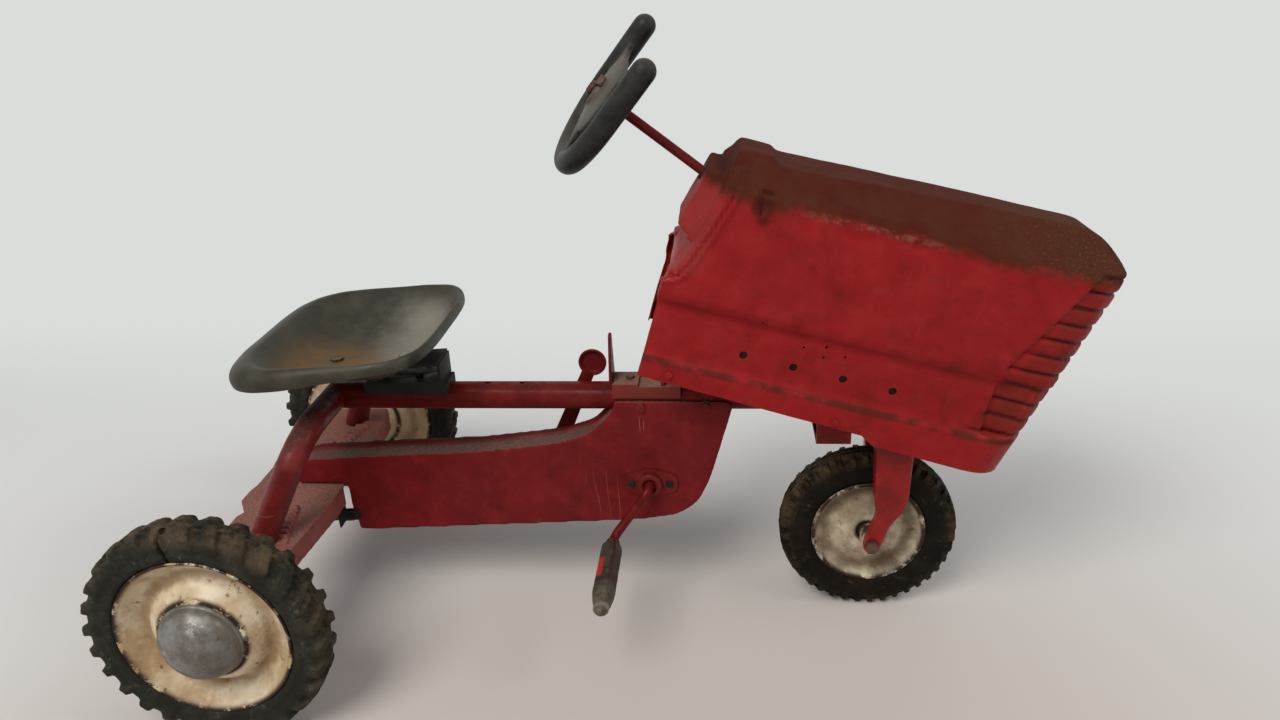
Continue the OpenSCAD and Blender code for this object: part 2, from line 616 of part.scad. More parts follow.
pedal_pts = [
    [-pedal_t / 2, -pedal_t / 2, 5], [pedal_t / 2, -pedal_t / 2, 5], [pedal_t / 2, pedal_t / 2, 5],
    [-pedal_t / 2, pedal_t / 2, 5]
];
module at_pedal() at_crank() rotate([0, crank_rest, 0]) translate([0, 0, -crank_r])
    rotate([0, -crank_rest, 0]) children();
module pedal() difference() {
    union() {
        plate_y(pedal_y, pedal_y + pedal_len - 4) polygon(round_poly(pedal_pts));
        plate_y(pedal_y + pedal_len - 5, pedal_y + pedal_len) polygon(round_poly(inset_poly(pedal_pts, 2)));
    }
    rod_y(crank_d + 2 * run_fit, 0, big);
}
module pedal_right() from_axle(black) mirror([0, 1, 0]) at_pedal() pedal();
module pedal_left() from_axle(black) at_crank() rotate([0, 180, 0]) translate([-crank_x, 0, -crank_z])
    at_pedal() pedal();
module pedal_nut() difference() {
    rod_y(crank_d + 6, pedal_y + pedal_len + 0.5, pedal_y + pedal_len + 5);
    rod_y(crank_d + 2 * seat_gap, 0, big);
}
module pedal_nuts() from_axle(steel) {
    mirror([0, 1, 0]) at_pedal() pedal_nut();
    at_crank() rotate([0, 180, 0]) translate([-crank_x, 0, -crank_z]) at_pedal() pedal_nut();
}

// Outline of the chain case, from its lower rear corner forward round the crank
cover_back = 38;
case_pts = [
    [housing_front + 8, axle_z - 27.5, 6], [crank_x - 13, crank_z - 52, 150],
    [crank_x + 32, crank_z - 44, 40],
    [crank_x + 55, crank_z - 26, 40], [crank_x + 68, crank_z + 3, 60], [crank_x + 79, crank_z + 41, 0],
    [crank_x + 93, beam_z - 4.5, 4], [crank_x + 86, beam_z + 2.5, 4],
    [crank_x - cover_back - 4, beam_z + 3.4, 3],
    [crank_x - cover_back, beam_z - 1.3, 3], [crank_x - 44, beam_z - 14.5, 8],
    [crank_x - 64, beam_z - 35, 30],
    [crank_x - 97, beam_z - 46.5, 60], [222, housing_top + 47, 0], [134, housing_top + 42.6, 0],
    [16, housing_top + 35, 6], [2, housing_top + 20, 12], [2, housing_top + seat_gap, 0],
    [case_back, housing_top + seat_gap, 0], [case_back, axle_z + 5, 3], [case_back + 3, axle_z, 3]
];
case_bolt_x = [crank_x - 8, crank_x + 62];
case_bolt_d = 6;
case_bolt_z = beam_z - 5;
case_y = case_w / 2;
module case_half(y0, y1) difference() {
    plate_y(y0, y1) polygon(round_poly(case_pts));
    plate_y(-case_y + case_t, case_y - case_t) polygon(round_poly(inset_poly(case_pts, case_t)));
    block([0, -notch_y + 1, 0], [case_back + 10, notch_y - 1, housing_top + 6]);
    block([case_back - 5, -case_y + case_t, axle_z - 22], [case_back + 14, case_y - case_t, housing_top - 2]);
    translate([0, 0, beam_z]) rod_x(beam_d + 2 * move_gap, 0, big);
    block([crank_x - 60, -beam_d / 2 - move_gap, beam_z], [crank_x + 110, beam_d / 2 + move_gap, big]);
    at_crank() rod_y(crank_d + 6 + 2 * seat_gap, -big, big);
    at_crank() for (x = [-21, 21]) translate([x, 0, 0]) rod_y(4 + 2 * seat_gap, -big, big);
    for (x = case_bolt_x) translate([x, 0, case_bolt_z]) rod_y(case_bolt_d + 2 * seat_gap, -big, big);
    translate([lever_x, 0, lever_z]) rod_y(lever_bolt_d + 2 * seat_gap, 0, big);
    stay_rivet(stay_d + 2 * seat_gap, -big, 0);
}
module chain_case_right() from_axle(red) case_half(-case_y, case_seam_y);
module chain_case_left() from_axle(red) case_half(case_seam_y + seat_gap, case_y);
module case_spacers() from_axle(brown) both_sides() for (x = case_bolt_x) difference() {
    translate([x, 0, case_bolt_z]) rod_y(12, 0, case_y - case_t - seat_gap);
    translate([0, 0, beam_z]) rod_x(beam_d + 2 * seat_gap, 0, big);
    translate([x, 0, case_bolt_z]) rod_y(case_bolt_d + 2 * seat_gap, -1, big);
}
module case_bolts() from_axle(brown) for (x = case_bolt_x) translate([x, 0, case_bolt_z]) {
    rod_y(case_bolt_d, -case_y - 2, case_y + 5);
    rod_y(10, -case_y - 4, -case_y - seat_gap);
    rotate([-90, 0, 0]) translate([0, 0, case_y + seat_gap]) cylinder(h = 4, r = 5.6, $fn = 6);
}
stay_z = axle_z - 10;
stay_back = housing_front - housing_t - seat_gap;
stay_out = -case_y - seat_gap;
stay_d = 5;
module stay_rivet(d, y0, y1) translate([case_back + 7, 0, stay_z + 5]) rod_y(d, y0, y1);
module housing_stay() from_axle(black) {
    block([stay_back - 2, -40, stay_z], [stay_back, stay_out, housing_top - 6]);
    block([stay_back - 8, stay_out - 2, stay_z], [case_back + 12, stay_out, stay_z + 10]);
    stay_rivet(stay_d, stay_out - 3.5, -case_y + case_t + 1.5);
}

// Fork: its side outline and its front outline are cut through each other
leg_y = fork_gap / 2;
crown_z = head_low - 6;
front_x = fork_x - fork_trail;
fork_side = [
    [front_x - 9, front_tyre_r - 7, 5], [front_x, front_tyre_r - 13, 7], [front_x + 10, front_tyre_r - 5, 8],
    [front_x + 19, front_tyre_r + 25, 30], [fork_x + fork_leg_w / 2 - 2, front_tyre_r + 50, 40],
    [fork_x + fork_leg_w / 2, crown_z, 8], [fork_x - fork_leg_w / 2, crown_z, 8],
    [fork_x - fork_leg_w / 2 + 2, front_tyre_r + 62, 30], [front_x + 4, front_tyre_r + 34, 30],
    [front_x - 4, front_tyre_r + 15, 20]
];
fork_front = [
    [leg_y, front_tyre_r - big / 10, 0], [leg_y + 14, front_tyre_r - big / 10, 0],
    [leg_y + 14, front_tyre_r + 14, 20], [leg_y + fork_leg_t, front_tyre_r + 70, 40],
    [leg_y + fork_leg_t, crown_z, 14],
    [-leg_y - fork_leg_t, crown_z, 14], [-leg_y - fork_leg_t, front_tyre_r + 70, 40],
    [-leg_y - 14, front_tyre_r + 14, 20], [-leg_y - 14, front_tyre_r - big / 10, 0],
    [-leg_y, front_tyre_r - big / 10, 0], [-leg_y, crown_z - 18, 16], [leg_y, crown_z - 18, 16]
];
module fork() from_axle(red) difference() {
    union() {
        intersection() {
            plate_y(-big / 10, big / 10) polygon(round_poly(fork_side));
            plate_x(fork_x - big / 10, fork_x + big / 10) polygon(round_poly(fork_front));
        }
        translate([fork_x, 0, crown_z - 2]) cylinder(h = arm_z + 12 - crown_z, d = kingpin_d);
    }
    translate([front_x, 0, front_tyre_r]) rod_y(front_axle_d + 2 * seat_gap, -big, big);
}
module fork_washer() from_axle(brown) translate([fork_x, 0, crown_z + seat_gap]) difference() {
    cylinder(h = head_low - crown_z - 2 * seat_gap, d = head_d + 4);
    translate([0, 0, -1]) cylinder(h = 10, d = kingpin_d + 2 * seat_gap);
}
slot_half = pin_d / 2 + 2.4;
arm_half = slot_half + 6;
module steering_arm() from_axle(brown) translate([fork_x, 0, 0]) difference() {
    union() {
        translate([0, 0, head_top + seat_gap]) cylinder(h = arm_z + arm_t / 2 - head_top - seat_gap, d = 28);
        block([slot_x - fork_x - 22, -arm_half, arm_z - arm_t / 2], [0, arm_half, arm_z + arm_t / 2]);
    }
    cylinder(h = big, d = kingpin_d + 2 * seat_gap);
    block([-big, -slot_half, arm_z - 10], [slot_x - fork_x + 26, slot_half, arm_z + 10]);
}
module kingpin_nut() from_axle(steel) translate([fork_x, 0, arm_z + arm_t / 2 + seat_gap]) difference() {
    cylinder(h = 7, r = 14, $fn = 6);
    translate([0, 0, -1]) cylinder(h = 9, d = kingpin_d + 2 * seat_gap);
}

axle_face = leg_y + 14;
module at_front() translate([front_x, 0, front_tyre_r]) children();
module front_axle() from_axle(brown) at_front() {
    rod_y(front_axle_d, -axle_face - 1, axle_face + 8);
    rotate([90, 0, 0]) translate([0, 0, axle_face + seat_gap]) cylinder(h = 6, r = 8, $fn = 6);
}
module front_axle_nut() from_axle(brown) at_front() difference() {
    rotate([-90, 0, 0]) translate([0, 0, axle_face + seat_gap]) cylinder(h = 7, r = 8, $fn = 6);
    rod_y(front_axle_d + 2 * seat_gap, 0, big);
}
front_half = front_tyre_w / 2;
front_disc = [
    [front_seat_r + 2, 15], [front_seat_r + 2, 16.5], [front_seat_r - 1, 16.5], [front_seat_r - 4, 12],
    [46, 8], [34, 6], [26, 8], [20, 10], [12, 10], [12, 8.4], [20, 8.4], [26, 6.4], [34, 4.4], [46, 6.4],
    [front_seat_r - 3, 10.4], [front_seat_r - disc_t, 12]
];
module front_rim() from_axle(cream) at_front() difference() {
    union() {
        both_sides() turned_y() polygon(front_disc);
        turned_y() translate([front_seat_r - disc_t, -13]) square([disc_t, 26]);
        rod_y(26, -10, 10);
        rod_y(20, -leg_y + move_gap, leg_y - move_gap);
    }
    rod_y(front_axle_d + 2 * run_fit, -big, big);
}
front_tread = front_tyre_r - 5;
module front_tyre() from_axle(black) at_front() {
    turned_y() polygon(round_poly([
        [front_seat_r + seat_gap, -13, 0], [front_seat_r + 2.5, -15, 0], [front_seat_r + 4, -16.8, 2],
        [front_seat_r + 14, -front_half + 0.5, 8], [front_tread - 6, -front_half + 1.5, 8],
        [front_tread, -11, 8], [front_tread, 11, 8], [front_tread - 6, front_half - 1.5, 8],
        [front_seat_r + 14, front_half - 0.5, 8], [front_seat_r + 4, 16.8, 2], [front_seat_r + 2.5, 15, 0],
        [front_seat_r + seat_gap, 13, 0]
    ]));
    for (w = [-7, 0, 7]) rod_ring(front_tread - 2, front_tyre_r, w - 2.3, w + 2.3);
    both_sides() intersection() {
        turned_y() polygon(round_poly([
            [front_tread - 12, 10.5, 0], [front_tyre_r - 1, 10.5, 0], [front_tyre_r - 2, front_half - 3, 3],
            [front_tread - 9, front_half, 3], [front_tread - 12, front_half, 0]
        ]));
        plate_y(0, big / 10) for (i = [0:front_blocks / 2 - 1]) rotate(i * 360 / front_blocks)
            square([big, PI * front_tyre_r / front_blocks * 1.1], center = true);
    }
}
module rod_ring(r0, r1, w0, w1) turned_y() translate([r0, w0]) square([r1 - r0, w1 - w0]);

// Hood: side, front and plan outlines cut through each other
waist = 5;
hood_front = mirrored([
    [hood_half_w, -80, 0], [hood_half_w, 17, 2], [hood_half_w - waist, 19, 3], [hood_half_w - waist, 76, 4],
    [hood_half_w, 87, 4], [hood_half_w, 198, 16], [18, 235, 0]
]);
hood_plan = [
    [-big, -hood_half_w, 0], [0, -hood_half_w, nose_r], [0, hood_half_w, nose_r], [-big, hood_half_w, 0]
];
dash_pts = [
    [0, -62, 0], [26, -62, 0], [26, 62, 0], [0, 62, 0], [-dash_bulge, 36, 8], [-dash_bulge, -36, 8]
];
module hood_solid(t, drop) intersection() {
    plate_y(-big / 5, big / 5) polygon(round_poly(inset_poly(hood_side(drop), t)));
    plate_x(-big / 2, big / 2) polygon(round_poly(inset_poly(hood_front, t)));
    translate([chin_front, 0, 11]) rotate([0, nose_slant, 0]) translate([0, 0, -big / 5])
        linear_extrude(big / 2) polygon(round_poly(inset_poly(hood_plan, t)));
}
module dash_solid(t) translate([13, 0, 125]) rotate([0, 15.5, 0]) translate([0, 0, 12 + t])
    linear_extrude(66 - 2 * t) polygon(round_poly(inset_poly(dash_pts, t)));
// Rear boundary of the ribbed grille
grille_pts = [
    [337, -60], [337, 20], [335, 55], [336, 97.6], [348, 121], [360, 145], [373.5, 176], [386, 202],
    [big, 202], [big, -60]
];
groove_pitch = 170 / (grille_grooves + 0.6);
module hood() from_axle(red) difference() {
    in_hood() hood_shell();
    side_holes();
    on_column(0) cylinder(h = big / 5, d = column_hole_d);
}
module grille_slab(out, low, high) plate_y(out, big / 5) intersection() {
    polygon(grille_pts);
    translate([0, low]) square([big / 2, high - low]);
}
module hood_shell() difference() {
    union() {
        hood_solid(0, 0);
        dash_solid(0);
    }
    difference() {
        hood_solid(hood_t, 40);
        plate_y(-big / 5, big / 5) translate([-hood_t - grille_inset, 0]) polygon(grille_pts);
    }
    hood_solid(hood_t + grille_inset + groove_depth, 40);
    dash_solid(hood_t);
    block([-10, -hood_half_w + 8, -big], [30, hood_half_w - 8, 106]);
    difference() {
        for (i = [0:grille_grooves - 1]) plate_y(-big / 5, big / 5) translate([1, 0]) intersection() {
            polygon(grille_pts);
            translate([0, 26 + i * groove_pitch]) square([big, 4]);
        }
        hood_solid(grille_inset + groove_depth, 0);
    }
    both_sides() {
        grille_slab(hood_half_w - grille_inset, grille_waist - 2.7, grille_top);
        grille_slab(hood_half_w - waist - grille_inset, grille_low, grille_waist);
    }
    for (i = [0:3]) translate([92 + i * trim_pitch, 0, trim_z]) rod_y(2 * trim_hole_r, -big, big);
}
grille_low = 22.7;
grille_waist = 72.7;
grille_top = 192;
trim_z = 42;
column_hole_d = column_d + 8;

// Brackets on the main tube that carry the hood and the steering rod
strap_screw_d = 5;
foot_x = crank_x + 140;
strap_screw_x = [crank_x - 20, crank_x + 26, foot_x - 14];
cross_x = crank_x + 190;
skirt_in = hood_half_w - hood_t - seat_gap;
leg_t = 3.4;
hood_screw_at = [[crank_x + 27, hood_z - 2], [cross_x, beam_z + 8]];
module strap_holes() for (x = strap_screw_x) translate([x, 0, beam_z])
    cylinder(h = big, d = strap_screw_d + 2 * seat_gap);
module side_holes() for (p = hood_screw_at) translate([p[0], 0, p[1]]) rod_y(4 + 2 * seat_gap, -big, big);
module hood_bracket() from_axle(red) difference() {
    union() {
        block([crank_x - cover_back, -17, beam_z + 3.6], [crank_x + 35, 17, beam_z + beam_d / 2 + 2]);
        block([crank_x - cover_back, -17, beam_z + beam_d / 2], [crank_x - 10, 17, beam_z + beam_d / 2 + 5]);
        plate_x(crank_x + 14, crank_x + 17.5) polygon([
            [-14, beam_z + beam_d / 2], [14, beam_z + beam_d / 2], [20, hood_z - 7], [skirt_in, hood_z - 7],
            [skirt_in, hood_z + 5], [-skirt_in, hood_z + 5], [-skirt_in, hood_z - 7], [-20, hood_z - 7]
        ]);
        both_sides()
            block([crank_x + 14, skirt_in - leg_t, hood_z - 7], [crank_x + 34, skirt_in, hood_z + 5]);
    }
    translate([0, 0, beam_z]) rod_x(beam_d + 2 * seat_gap, 0, big);
    strap_holes();
    side_holes();
}
module hood_stop() from_axle(red) plate_x(crank_x - cover_back - 3, crank_x - cover_back - seat_gap)
    polygon(round_poly([[-17, beam_z + beam_d / 2 + seat_gap, 0], [17, beam_z + beam_d / 2 + seat_gap, 0],
        [17, beam_z + 20, 4], [5, beam_z + 72, 4], [-5, beam_z + 72, 4], [-17, beam_z + 20, 4]]));
module hood_cross_bracket() from_axle(red) difference() {
    plate_x(cross_x - 17, cross_x + 17) polygon(round_poly([
        [-skirt_in, beam_z - beam_d / 2 - 4, 5], [skirt_in, beam_z - beam_d / 2 - 4, 5],
        [skirt_in, beam_z + 15, 0], [skirt_in - leg_t, beam_z + 15, 0],
        [skirt_in - leg_t, beam_z - beam_d / 2 - seat_gap, 2],
        [-skirt_in + leg_t, beam_z - beam_d / 2 - seat_gap, 2], [-skirt_in + leg_t, beam_z + 15, 0],
        [-skirt_in, beam_z + 15, 0]
    ]));
    translate([cross_x, 0, 0]) cylinder(h = beam_z, d = strap_screw_d + 2 * seat_gap);
    side_holes();
}
module hood_screws() from_axle(brown) both_sides() for (p = hood_screw_at) translate([p[0], 0, p[1]]) {
    rod_y(4, skirt_in - leg_t - 5, hood_half_w + 1);
    rod_y(8, hood_half_w + seat_gap, hood_half_w + 2.5);
}
module frame_screws() from_axle(brown) {
    for (i = [0:2]) translate([strap_screw_x[i], 0, beam_z]) {
        top = beam_d / 2 + [5, 2, 4][i] + seat_gap;
        translate([0, 0, 8]) cylinder(h = top - 7, d = strap_screw_d);
        translate([0, 0, top]) cylinder(h = 3.5, d = 9);
    }
    translate([cross_x, 0, beam_z - beam_d / 2 - 5]) cylinder(h = 11, d = strap_screw_d);
    translate([cross_x, 0, beam_z - beam_d / 2 - 4 - seat_gap - 3.5]) cylinder(h = 3.5, d = 9);
}
foot_s = (foot_x + 8 - column_top[0]) / column_dir[0];
foot_top = column_top[1] + foot_s * column_dir[1];
module column_bracket() from_axle(brown) difference() {
    union() {
        block([foot_x - 22, -12, beam_z + beam_d / 2 - 4], [foot_x + 10, 12, beam_z + beam_d / 2 + 4]);
        block([foot_x + 6, -12, beam_z + beam_d / 2], [foot_x + 10, 12, foot_top]);
        on_column(foot_s - 10) cylinder(h = 20, d = column_d + 10);
    }
    on_column(foot_s - 60) cylinder(h = 120, d = column_d + 2 * run_fit);
    translate([0, 0, beam_z]) rod_x(beam_d + 2 * seat_gap, 0, big);
    strap_holes();
}
dash_s = (crank_x + 64 - column_top[0]) / column_dir[0];
module dash_bushing() from_axle(black) difference() {
    on_column(dash_s - 5) cylinder(h = 10, d = column_hole_d - 2 * seat_gap);
    on_column(dash_s - 20) cylinder(h = 40, d = column_d + 2 * run_fit);
}
column_start = -46;
column_steps = [
    [column_len - column_start - column_bend_r, 90, column_bend_r, 0],
    [column_throw - 2 * column_bend_r, 90, column_bend_r, 180],
    [2, 0, 0, 0]
];
module steering_column() from_axle(red) on_column(column_start) {
    bent_rod(column_d, column_steps);
    translate([column_throw, 0, column_len - column_start]) cylinder(h = pin_run + 9, d = pin_d);
}
// Steering wheel: its rim lies askew on its upright hub
hub_top = -40;
rim_s = -25;
hub_d = 30;
web_top = 12;
module in_wheel() translate([0, 0, rim_s]) rotate([-wheel_lean, 0, 0]) rotate([0, 0, wheel_turn]) children();
module wheel_plan() {
    circle(r = wheel_rim_r - 30);
    translate([-40, -wheel_rim_r]) square([34, 2 * wheel_rim_r]);
    translate([0, -13]) square([wheel_rim_r, 26]);
}
module wheel_web() difference() {
    intersection() {
        rotate_extrude() polygon([
            [0, -web_top], [16, -web_top], [wheel_rim_r, -4], [wheel_rim_r, 2], [14, -6], [0, -6]
        ]);
        translate([0, 0, -wheel_rim_r]) linear_extrude(2 * wheel_rim_r) wheel_plan();
    }
    both_sides() translate([-14, wheel_rim_r - 25, -wheel_rim_r]) {
        translate([-16, -6.5, 0]) cube([16, 13, 2 * wheel_rim_r]);
        cylinder(h = 2 * wheel_rim_r, d = 13);
    }
}
module steering_wheel() from_axle(black) on_column(0) difference() {
    union() {
        in_wheel() {
            rotate([0, 0, -90]) rotate_extrude(angle = 180) translate([wheel_rim_r, 0])
                circle(d = wheel_rim_d);
            both_sides() translate([-wheel_arm, wheel_rim_r, 0]) {
                rotate([0, 90, 0]) cylinder(h = wheel_arm, d = wheel_rim_d);
                sphere(d = wheel_rim_d);
            }
            wheel_web();
        }
        translate([0, 0, hub_top]) cylinder(h = -8 - hub_top, d = hub_d);
    }
    translate([0, 0, -big]) cylinder(h = 2 * big, d = column_d + 2 * seat_gap);
}
// Rusted strap bent over the top of the hub, held by a nut
strap_turn = 40;
strap_half = hub_d / 2 + 2.3;
// Its bent end goes down on the side where the leaning web leaves room
strap_lip = rim_s - hub_top - web_top * cos(wheel_lean) + 6 * sin(wheel_lean) - 0.6;
module wheel_strap() from_axle(brown) on_column(hub_top - seat_gap) difference() {
    union() {
        rotate([0, 0, strap_turn]) {
            block([-strap_half, -6, -2], [strap_half, 6, 0]);
            block([-strap_half, -6, -1], [2 - strap_half, 6, strap_lip]);
        }
        translate([0, 0, -5]) cylinder(h = 4, r = 8, $fn = 6);
    }
    translate([0, 0, -10]) cylinder(h = 20, d = column_d + 2 * seat_gap);
}

// Seat: carried on a saddle and a bent riser; the pan rises to the front
saddle_hole_x = 120;
saddle_x = [100, 192];
saddle_top = beam_z + 20;
screw_d = 5;
rim_z = beam_z + 86;
module saddle_bores() for (i = [0, 1]) translate([saddle_hole_x + i * adjust_pitch, 0, beam_z])
    cylinder(h = big, d = screw_d + 2 * seat_gap);
module seat_saddle() from_axle(brown) difference() {
    block([saddle_x[0], -beam_d / 2 - 3, beam_z + 2], [saddle_x[1], beam_d / 2 + 3, saddle_top]);
    translate([0, 0, beam_z]) rod_x(beam_d + 2 * seat_gap, 0, big);
    block([0, -beam_d / 2 - seat_gap, 0], [big, beam_d / 2 + seat_gap, beam_z]);
    saddle_bores();
}
module in_seat() translate([seat_x, 0, rim_z]) rotate([0, -seat_tilt, 0]) children();
seat_bolt_x = [-38, 40];
riser_t = 3;
riser_front = saddle_x[1] - 4;
module riser_top() in_seat() translate([0, 0, -seat_depth - riser_t - seat_gap])
    block([-50, -22, 0], [riser_front - seat_x - 5, 22, riser_t]);
module seat_riser() from_axle(brown) difference() {
    union() {
        riser_top();
        block([saddle_x[0] + 4, -20, saddle_top + seat_gap], [riser_front, 20, saddle_top + riser_t]);
        difference() {
            block([riser_front - 3, -20, saddle_top + seat_gap], [riser_front, 20, rim_z]);
            in_seat() block([-big, -big, -seat_depth - 2], [big, big, big]);
        }
    }
    saddle_low_bores();
    seat_bores();
}
module saddle_low_bores() intersection() {
    saddle_bores();
    block([0, -big, 0], [big, big, saddle_top + riser_t + 1]);
}
module seat_bores() in_seat() for (x = seat_bolt_x) translate([x, 0, -seat_depth - 10])
    cylinder(h = 20, d = 6 + 2 * seat_gap);
module saddle_screws() from_axle(steel) for (i = [0, 1]) translate([saddle_hole_x + i * adjust_pitch, 0, 0]) {
    translate([0, 0, beam_z + 8]) cylinder(h = saddle_top + riser_t + 1 - beam_z - 8, d = screw_d);
    translate([0, 0, saddle_top + riser_t + seat_gap]) cylinder(h = 3.5, d = 9);
}
module seat_bolts() from_axle(steel) in_seat() for (x = seat_bolt_x) translate([x, 0, -seat_depth]) {
    translate([0, 0, -riser_t - 7]) cylinder(h = seat_t + riser_t + 8, d = 6);
    translate([0, 0, seat_t + seat_gap]) cylinder(h = 3, d = 14);
    translate([0, 0, -riser_t - 4 - 2 * seat_gap]) cylinder(h = 4, r = 5.6, $fn = 6);
}
seat_lip = 12;
seat_skirt = 22;
seat_front_skirt = 12;
skirt_slope = atan((seat_skirt - seat_front_skirt) / seat_len);
// The seat's corners are rounder in front than at the back
function squareness(a) = cos(a) > 0 ? 3.6 : 5;
function bow(c, n) = sign(c) * pow(abs(c), 2 / n);
function rim_at(a, t) = let (n = squareness(a), u = bow(cos(a), n), v = bow(sin(a), n))
    [(seat_len / 2 - t) * u, (seat_w / 2 - t) * v * (1 + 0.03 * u)];
module seat_plan(t) polygon([for (i = [0:47]) rim_at(i * 360 / 48, t)]);
function tray_pts(half, t) = [[-half + t, -seat_depth + t, 34 - t], [half - t, -seat_depth + t, 34 - t],
    [half - t, 20, 0], [-half + t, 20, 0]];
module seat_dish(t) intersection() {
    translate([0, 0, -seat_depth]) linear_extrude(seat_depth + 10) seat_plan(seat_lip + t);
    plate_y(-seat_w, seat_w) polygon(round_poly(tray_pts(seat_len / 2 - seat_lip, t)));
    plate_x(-seat_len, seat_len) polygon(round_poly(tray_pts(seat_w / 2 * 1.05 - seat_lip, t)));
}
module seat_pan() from_axle(black) difference() {
    in_seat() difference() {
        union() {
            difference() {
                translate([0, 0, -seat_skirt]) linear_extrude(seat_skirt) seat_plan(0);
                translate([-seat_len / 2, 0, -seat_skirt]) rotate([0, -skirt_slope, 0])
                    block([-seat_len, -seat_w, -seat_w], [2 * seat_len, seat_w, 0]);
            }
            intersection() {
                seat_dish(0);
                block([-big, -big, -big], [big, big, 0]);
            }
        }
        difference() {
            translate([0, 0, -seat_skirt - 1]) linear_extrude(seat_skirt + 1 - seat_t) seat_plan(seat_t);
            seat_dish(0);
        }
        seat_dish(seat_t);
    }
    seat_bores();
}

// Lever on the left side of the chain case
lever_x = crank_x - 110;
lever_z = crank_z + 21;
lever_y = case_y + 2;
lever_t = 3;
lever_bolt_d = 8;
module at_lever() translate([lever_x, 0, lever_z]) rotate([0, lever_lean, 0]) children();
module lever() from_axle(red) at_lever() difference() {
    union() {
        plate_y(lever_y, lever_y + lever_t) polygon(round_poly([
            [-10, -10, 9], [10, -10, 9], [9, 20, 0], [7, lever_len - 12, 0], [-7, lever_len - 12, 0],
            [-9, 20, 0]
        ]));
        translate([0, lever_y, lever_len]) turned_y() polygon([
            [0, 5], [0, 3.4], [lever_cup_r - 5, 3.4], [lever_cup_r - 2, 0], [lever_cup_r, 0],
            [lever_cup_r, 2], [lever_cup_r - 4, 5]
        ]);
    }
    rod_y(lever_bolt_d + 2 * run_fit, 0, big);
}
module lever_bolt() from_axle(steel) translate([lever_x, 0, lever_z]) {
    rod_y(lever_bolt_d, case_y - case_t - 5, lever_y + lever_t + 1);
    rod_y(16, case_y + seat_gap, lever_y - 0.3);
    rotate([-90, 0, 0]) translate([0, 0, lever_y + lever_t + 0.3]) cylinder(h = 5, r = 7.5, $fn = 6);
}

main_beam();
head_tube();
rear_arch();
axle_housing();
axle_bush_left();
axle_bush_right();
rear_axle();
axle_spacers();
axle_sprocket();
axle_pin();
crank_pin();
rear_rim_left();
rear_rim_right();
rear_tyre_left();
rear_tyre_right();
hub_cap_left();
hub_cap_right();
drive_pin();
axle_nut_left();
axle_nut_right();
chain();
crank();
crank_sprocket();
crank_flange_left();
crank_flange_right();
flange_screws();
pedal_left();
pedal_right();
pedal_nuts();
chain_case_right();
chain_case_left();
case_spacers();
case_bolts();
housing_stay();
fork();
fork_washer();
steering_arm();
kingpin_nut();
front_axle();
front_axle_nut();
front_rim();
front_tyre();
hood();
hood_bracket();
hood_stop();
hood_cross_bracket();
hood_screws();
frame_screws();
dash_bushing();
column_bracket();
steering_column();
steering_wheel();
wheel_strap();
seat_saddle();
seat_riser();
seat_pan();
saddle_screws();
seat_bolts();
lever();
lever_bolt();
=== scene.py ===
"""Looks of the pedal tractor: worn crimson sheet metal, dusty rubber, cream wheels and a black seat.

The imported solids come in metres, as the frame. Shapes here are drawn in millimetres, forward from
the rear axle, across from the middle and up from the floor, and are set in place at the end.
"""

import json
import math

import bmesh
import bpy
from mathutils import Matrix, Vector, noise


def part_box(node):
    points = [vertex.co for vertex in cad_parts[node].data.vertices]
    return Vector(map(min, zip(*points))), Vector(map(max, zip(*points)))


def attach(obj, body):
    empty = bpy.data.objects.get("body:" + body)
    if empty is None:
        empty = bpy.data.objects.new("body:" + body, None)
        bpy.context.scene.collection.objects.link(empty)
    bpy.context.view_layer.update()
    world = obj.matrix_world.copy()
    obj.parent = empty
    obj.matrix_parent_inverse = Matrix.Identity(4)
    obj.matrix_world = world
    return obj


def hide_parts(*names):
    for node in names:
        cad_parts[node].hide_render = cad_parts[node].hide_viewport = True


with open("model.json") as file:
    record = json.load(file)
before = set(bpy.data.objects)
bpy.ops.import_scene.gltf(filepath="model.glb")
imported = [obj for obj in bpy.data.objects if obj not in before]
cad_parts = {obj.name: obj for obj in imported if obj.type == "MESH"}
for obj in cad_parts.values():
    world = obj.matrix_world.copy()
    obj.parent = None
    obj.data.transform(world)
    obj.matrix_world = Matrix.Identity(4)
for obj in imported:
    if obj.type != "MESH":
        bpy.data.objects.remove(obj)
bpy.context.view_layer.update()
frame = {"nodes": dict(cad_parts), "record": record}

MM = 0.001
FULL_TURN = 2 * math.pi
WITHIN = {node: body for body, nodes in frame["record"]["behaviour"]["bodies"].items() for node in nodes}


# ---- where things are ----

def middle(node):
    """Centre of a solid of the frame, in metres."""
    low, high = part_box(node)
    return (low + high) / 2


FROM_AXLE = Matrix.Translation((middle("rear_axle").x, 0, 0)) @ Matrix.Scale(MM, 4)
HOOD_FOOT = Vector((410.1, 0, 321.5))
HOOD_TILT = math.radians(15)
RIB_PITCH = 17.7
IN_HOOD = FROM_AXLE @ Matrix.Translation(HOOD_FOOT) @ Matrix.Rotation(HOOD_TILT, 4, "Y")
SEAT_MIDDLE = Vector((103, 0, 346))
SEAT_TILT = math.radians(-3.4)
IN_SEAT = FROM_AXLE @ Matrix.Translation(SEAT_MIDDLE) @ Matrix.Rotation(SEAT_TILT, 4, "Y")
IN_METRES = Matrix.Identity(4)
# Turn a shape drawn in the XY plane to be seen from the side, or from the front
SIDE_VIEW = Matrix(((1, 0, 0, 0), (0, 0, -1, 0), (0, 1, 0, 0), (0, 0, 0, 1)))
FRONT_VIEW = Matrix(((0, 0, 1, 0), (1, 0, 0, 0), (0, 1, 0, 0), (0, 0, 0, 1)))


# ---- ways of making a shape ----

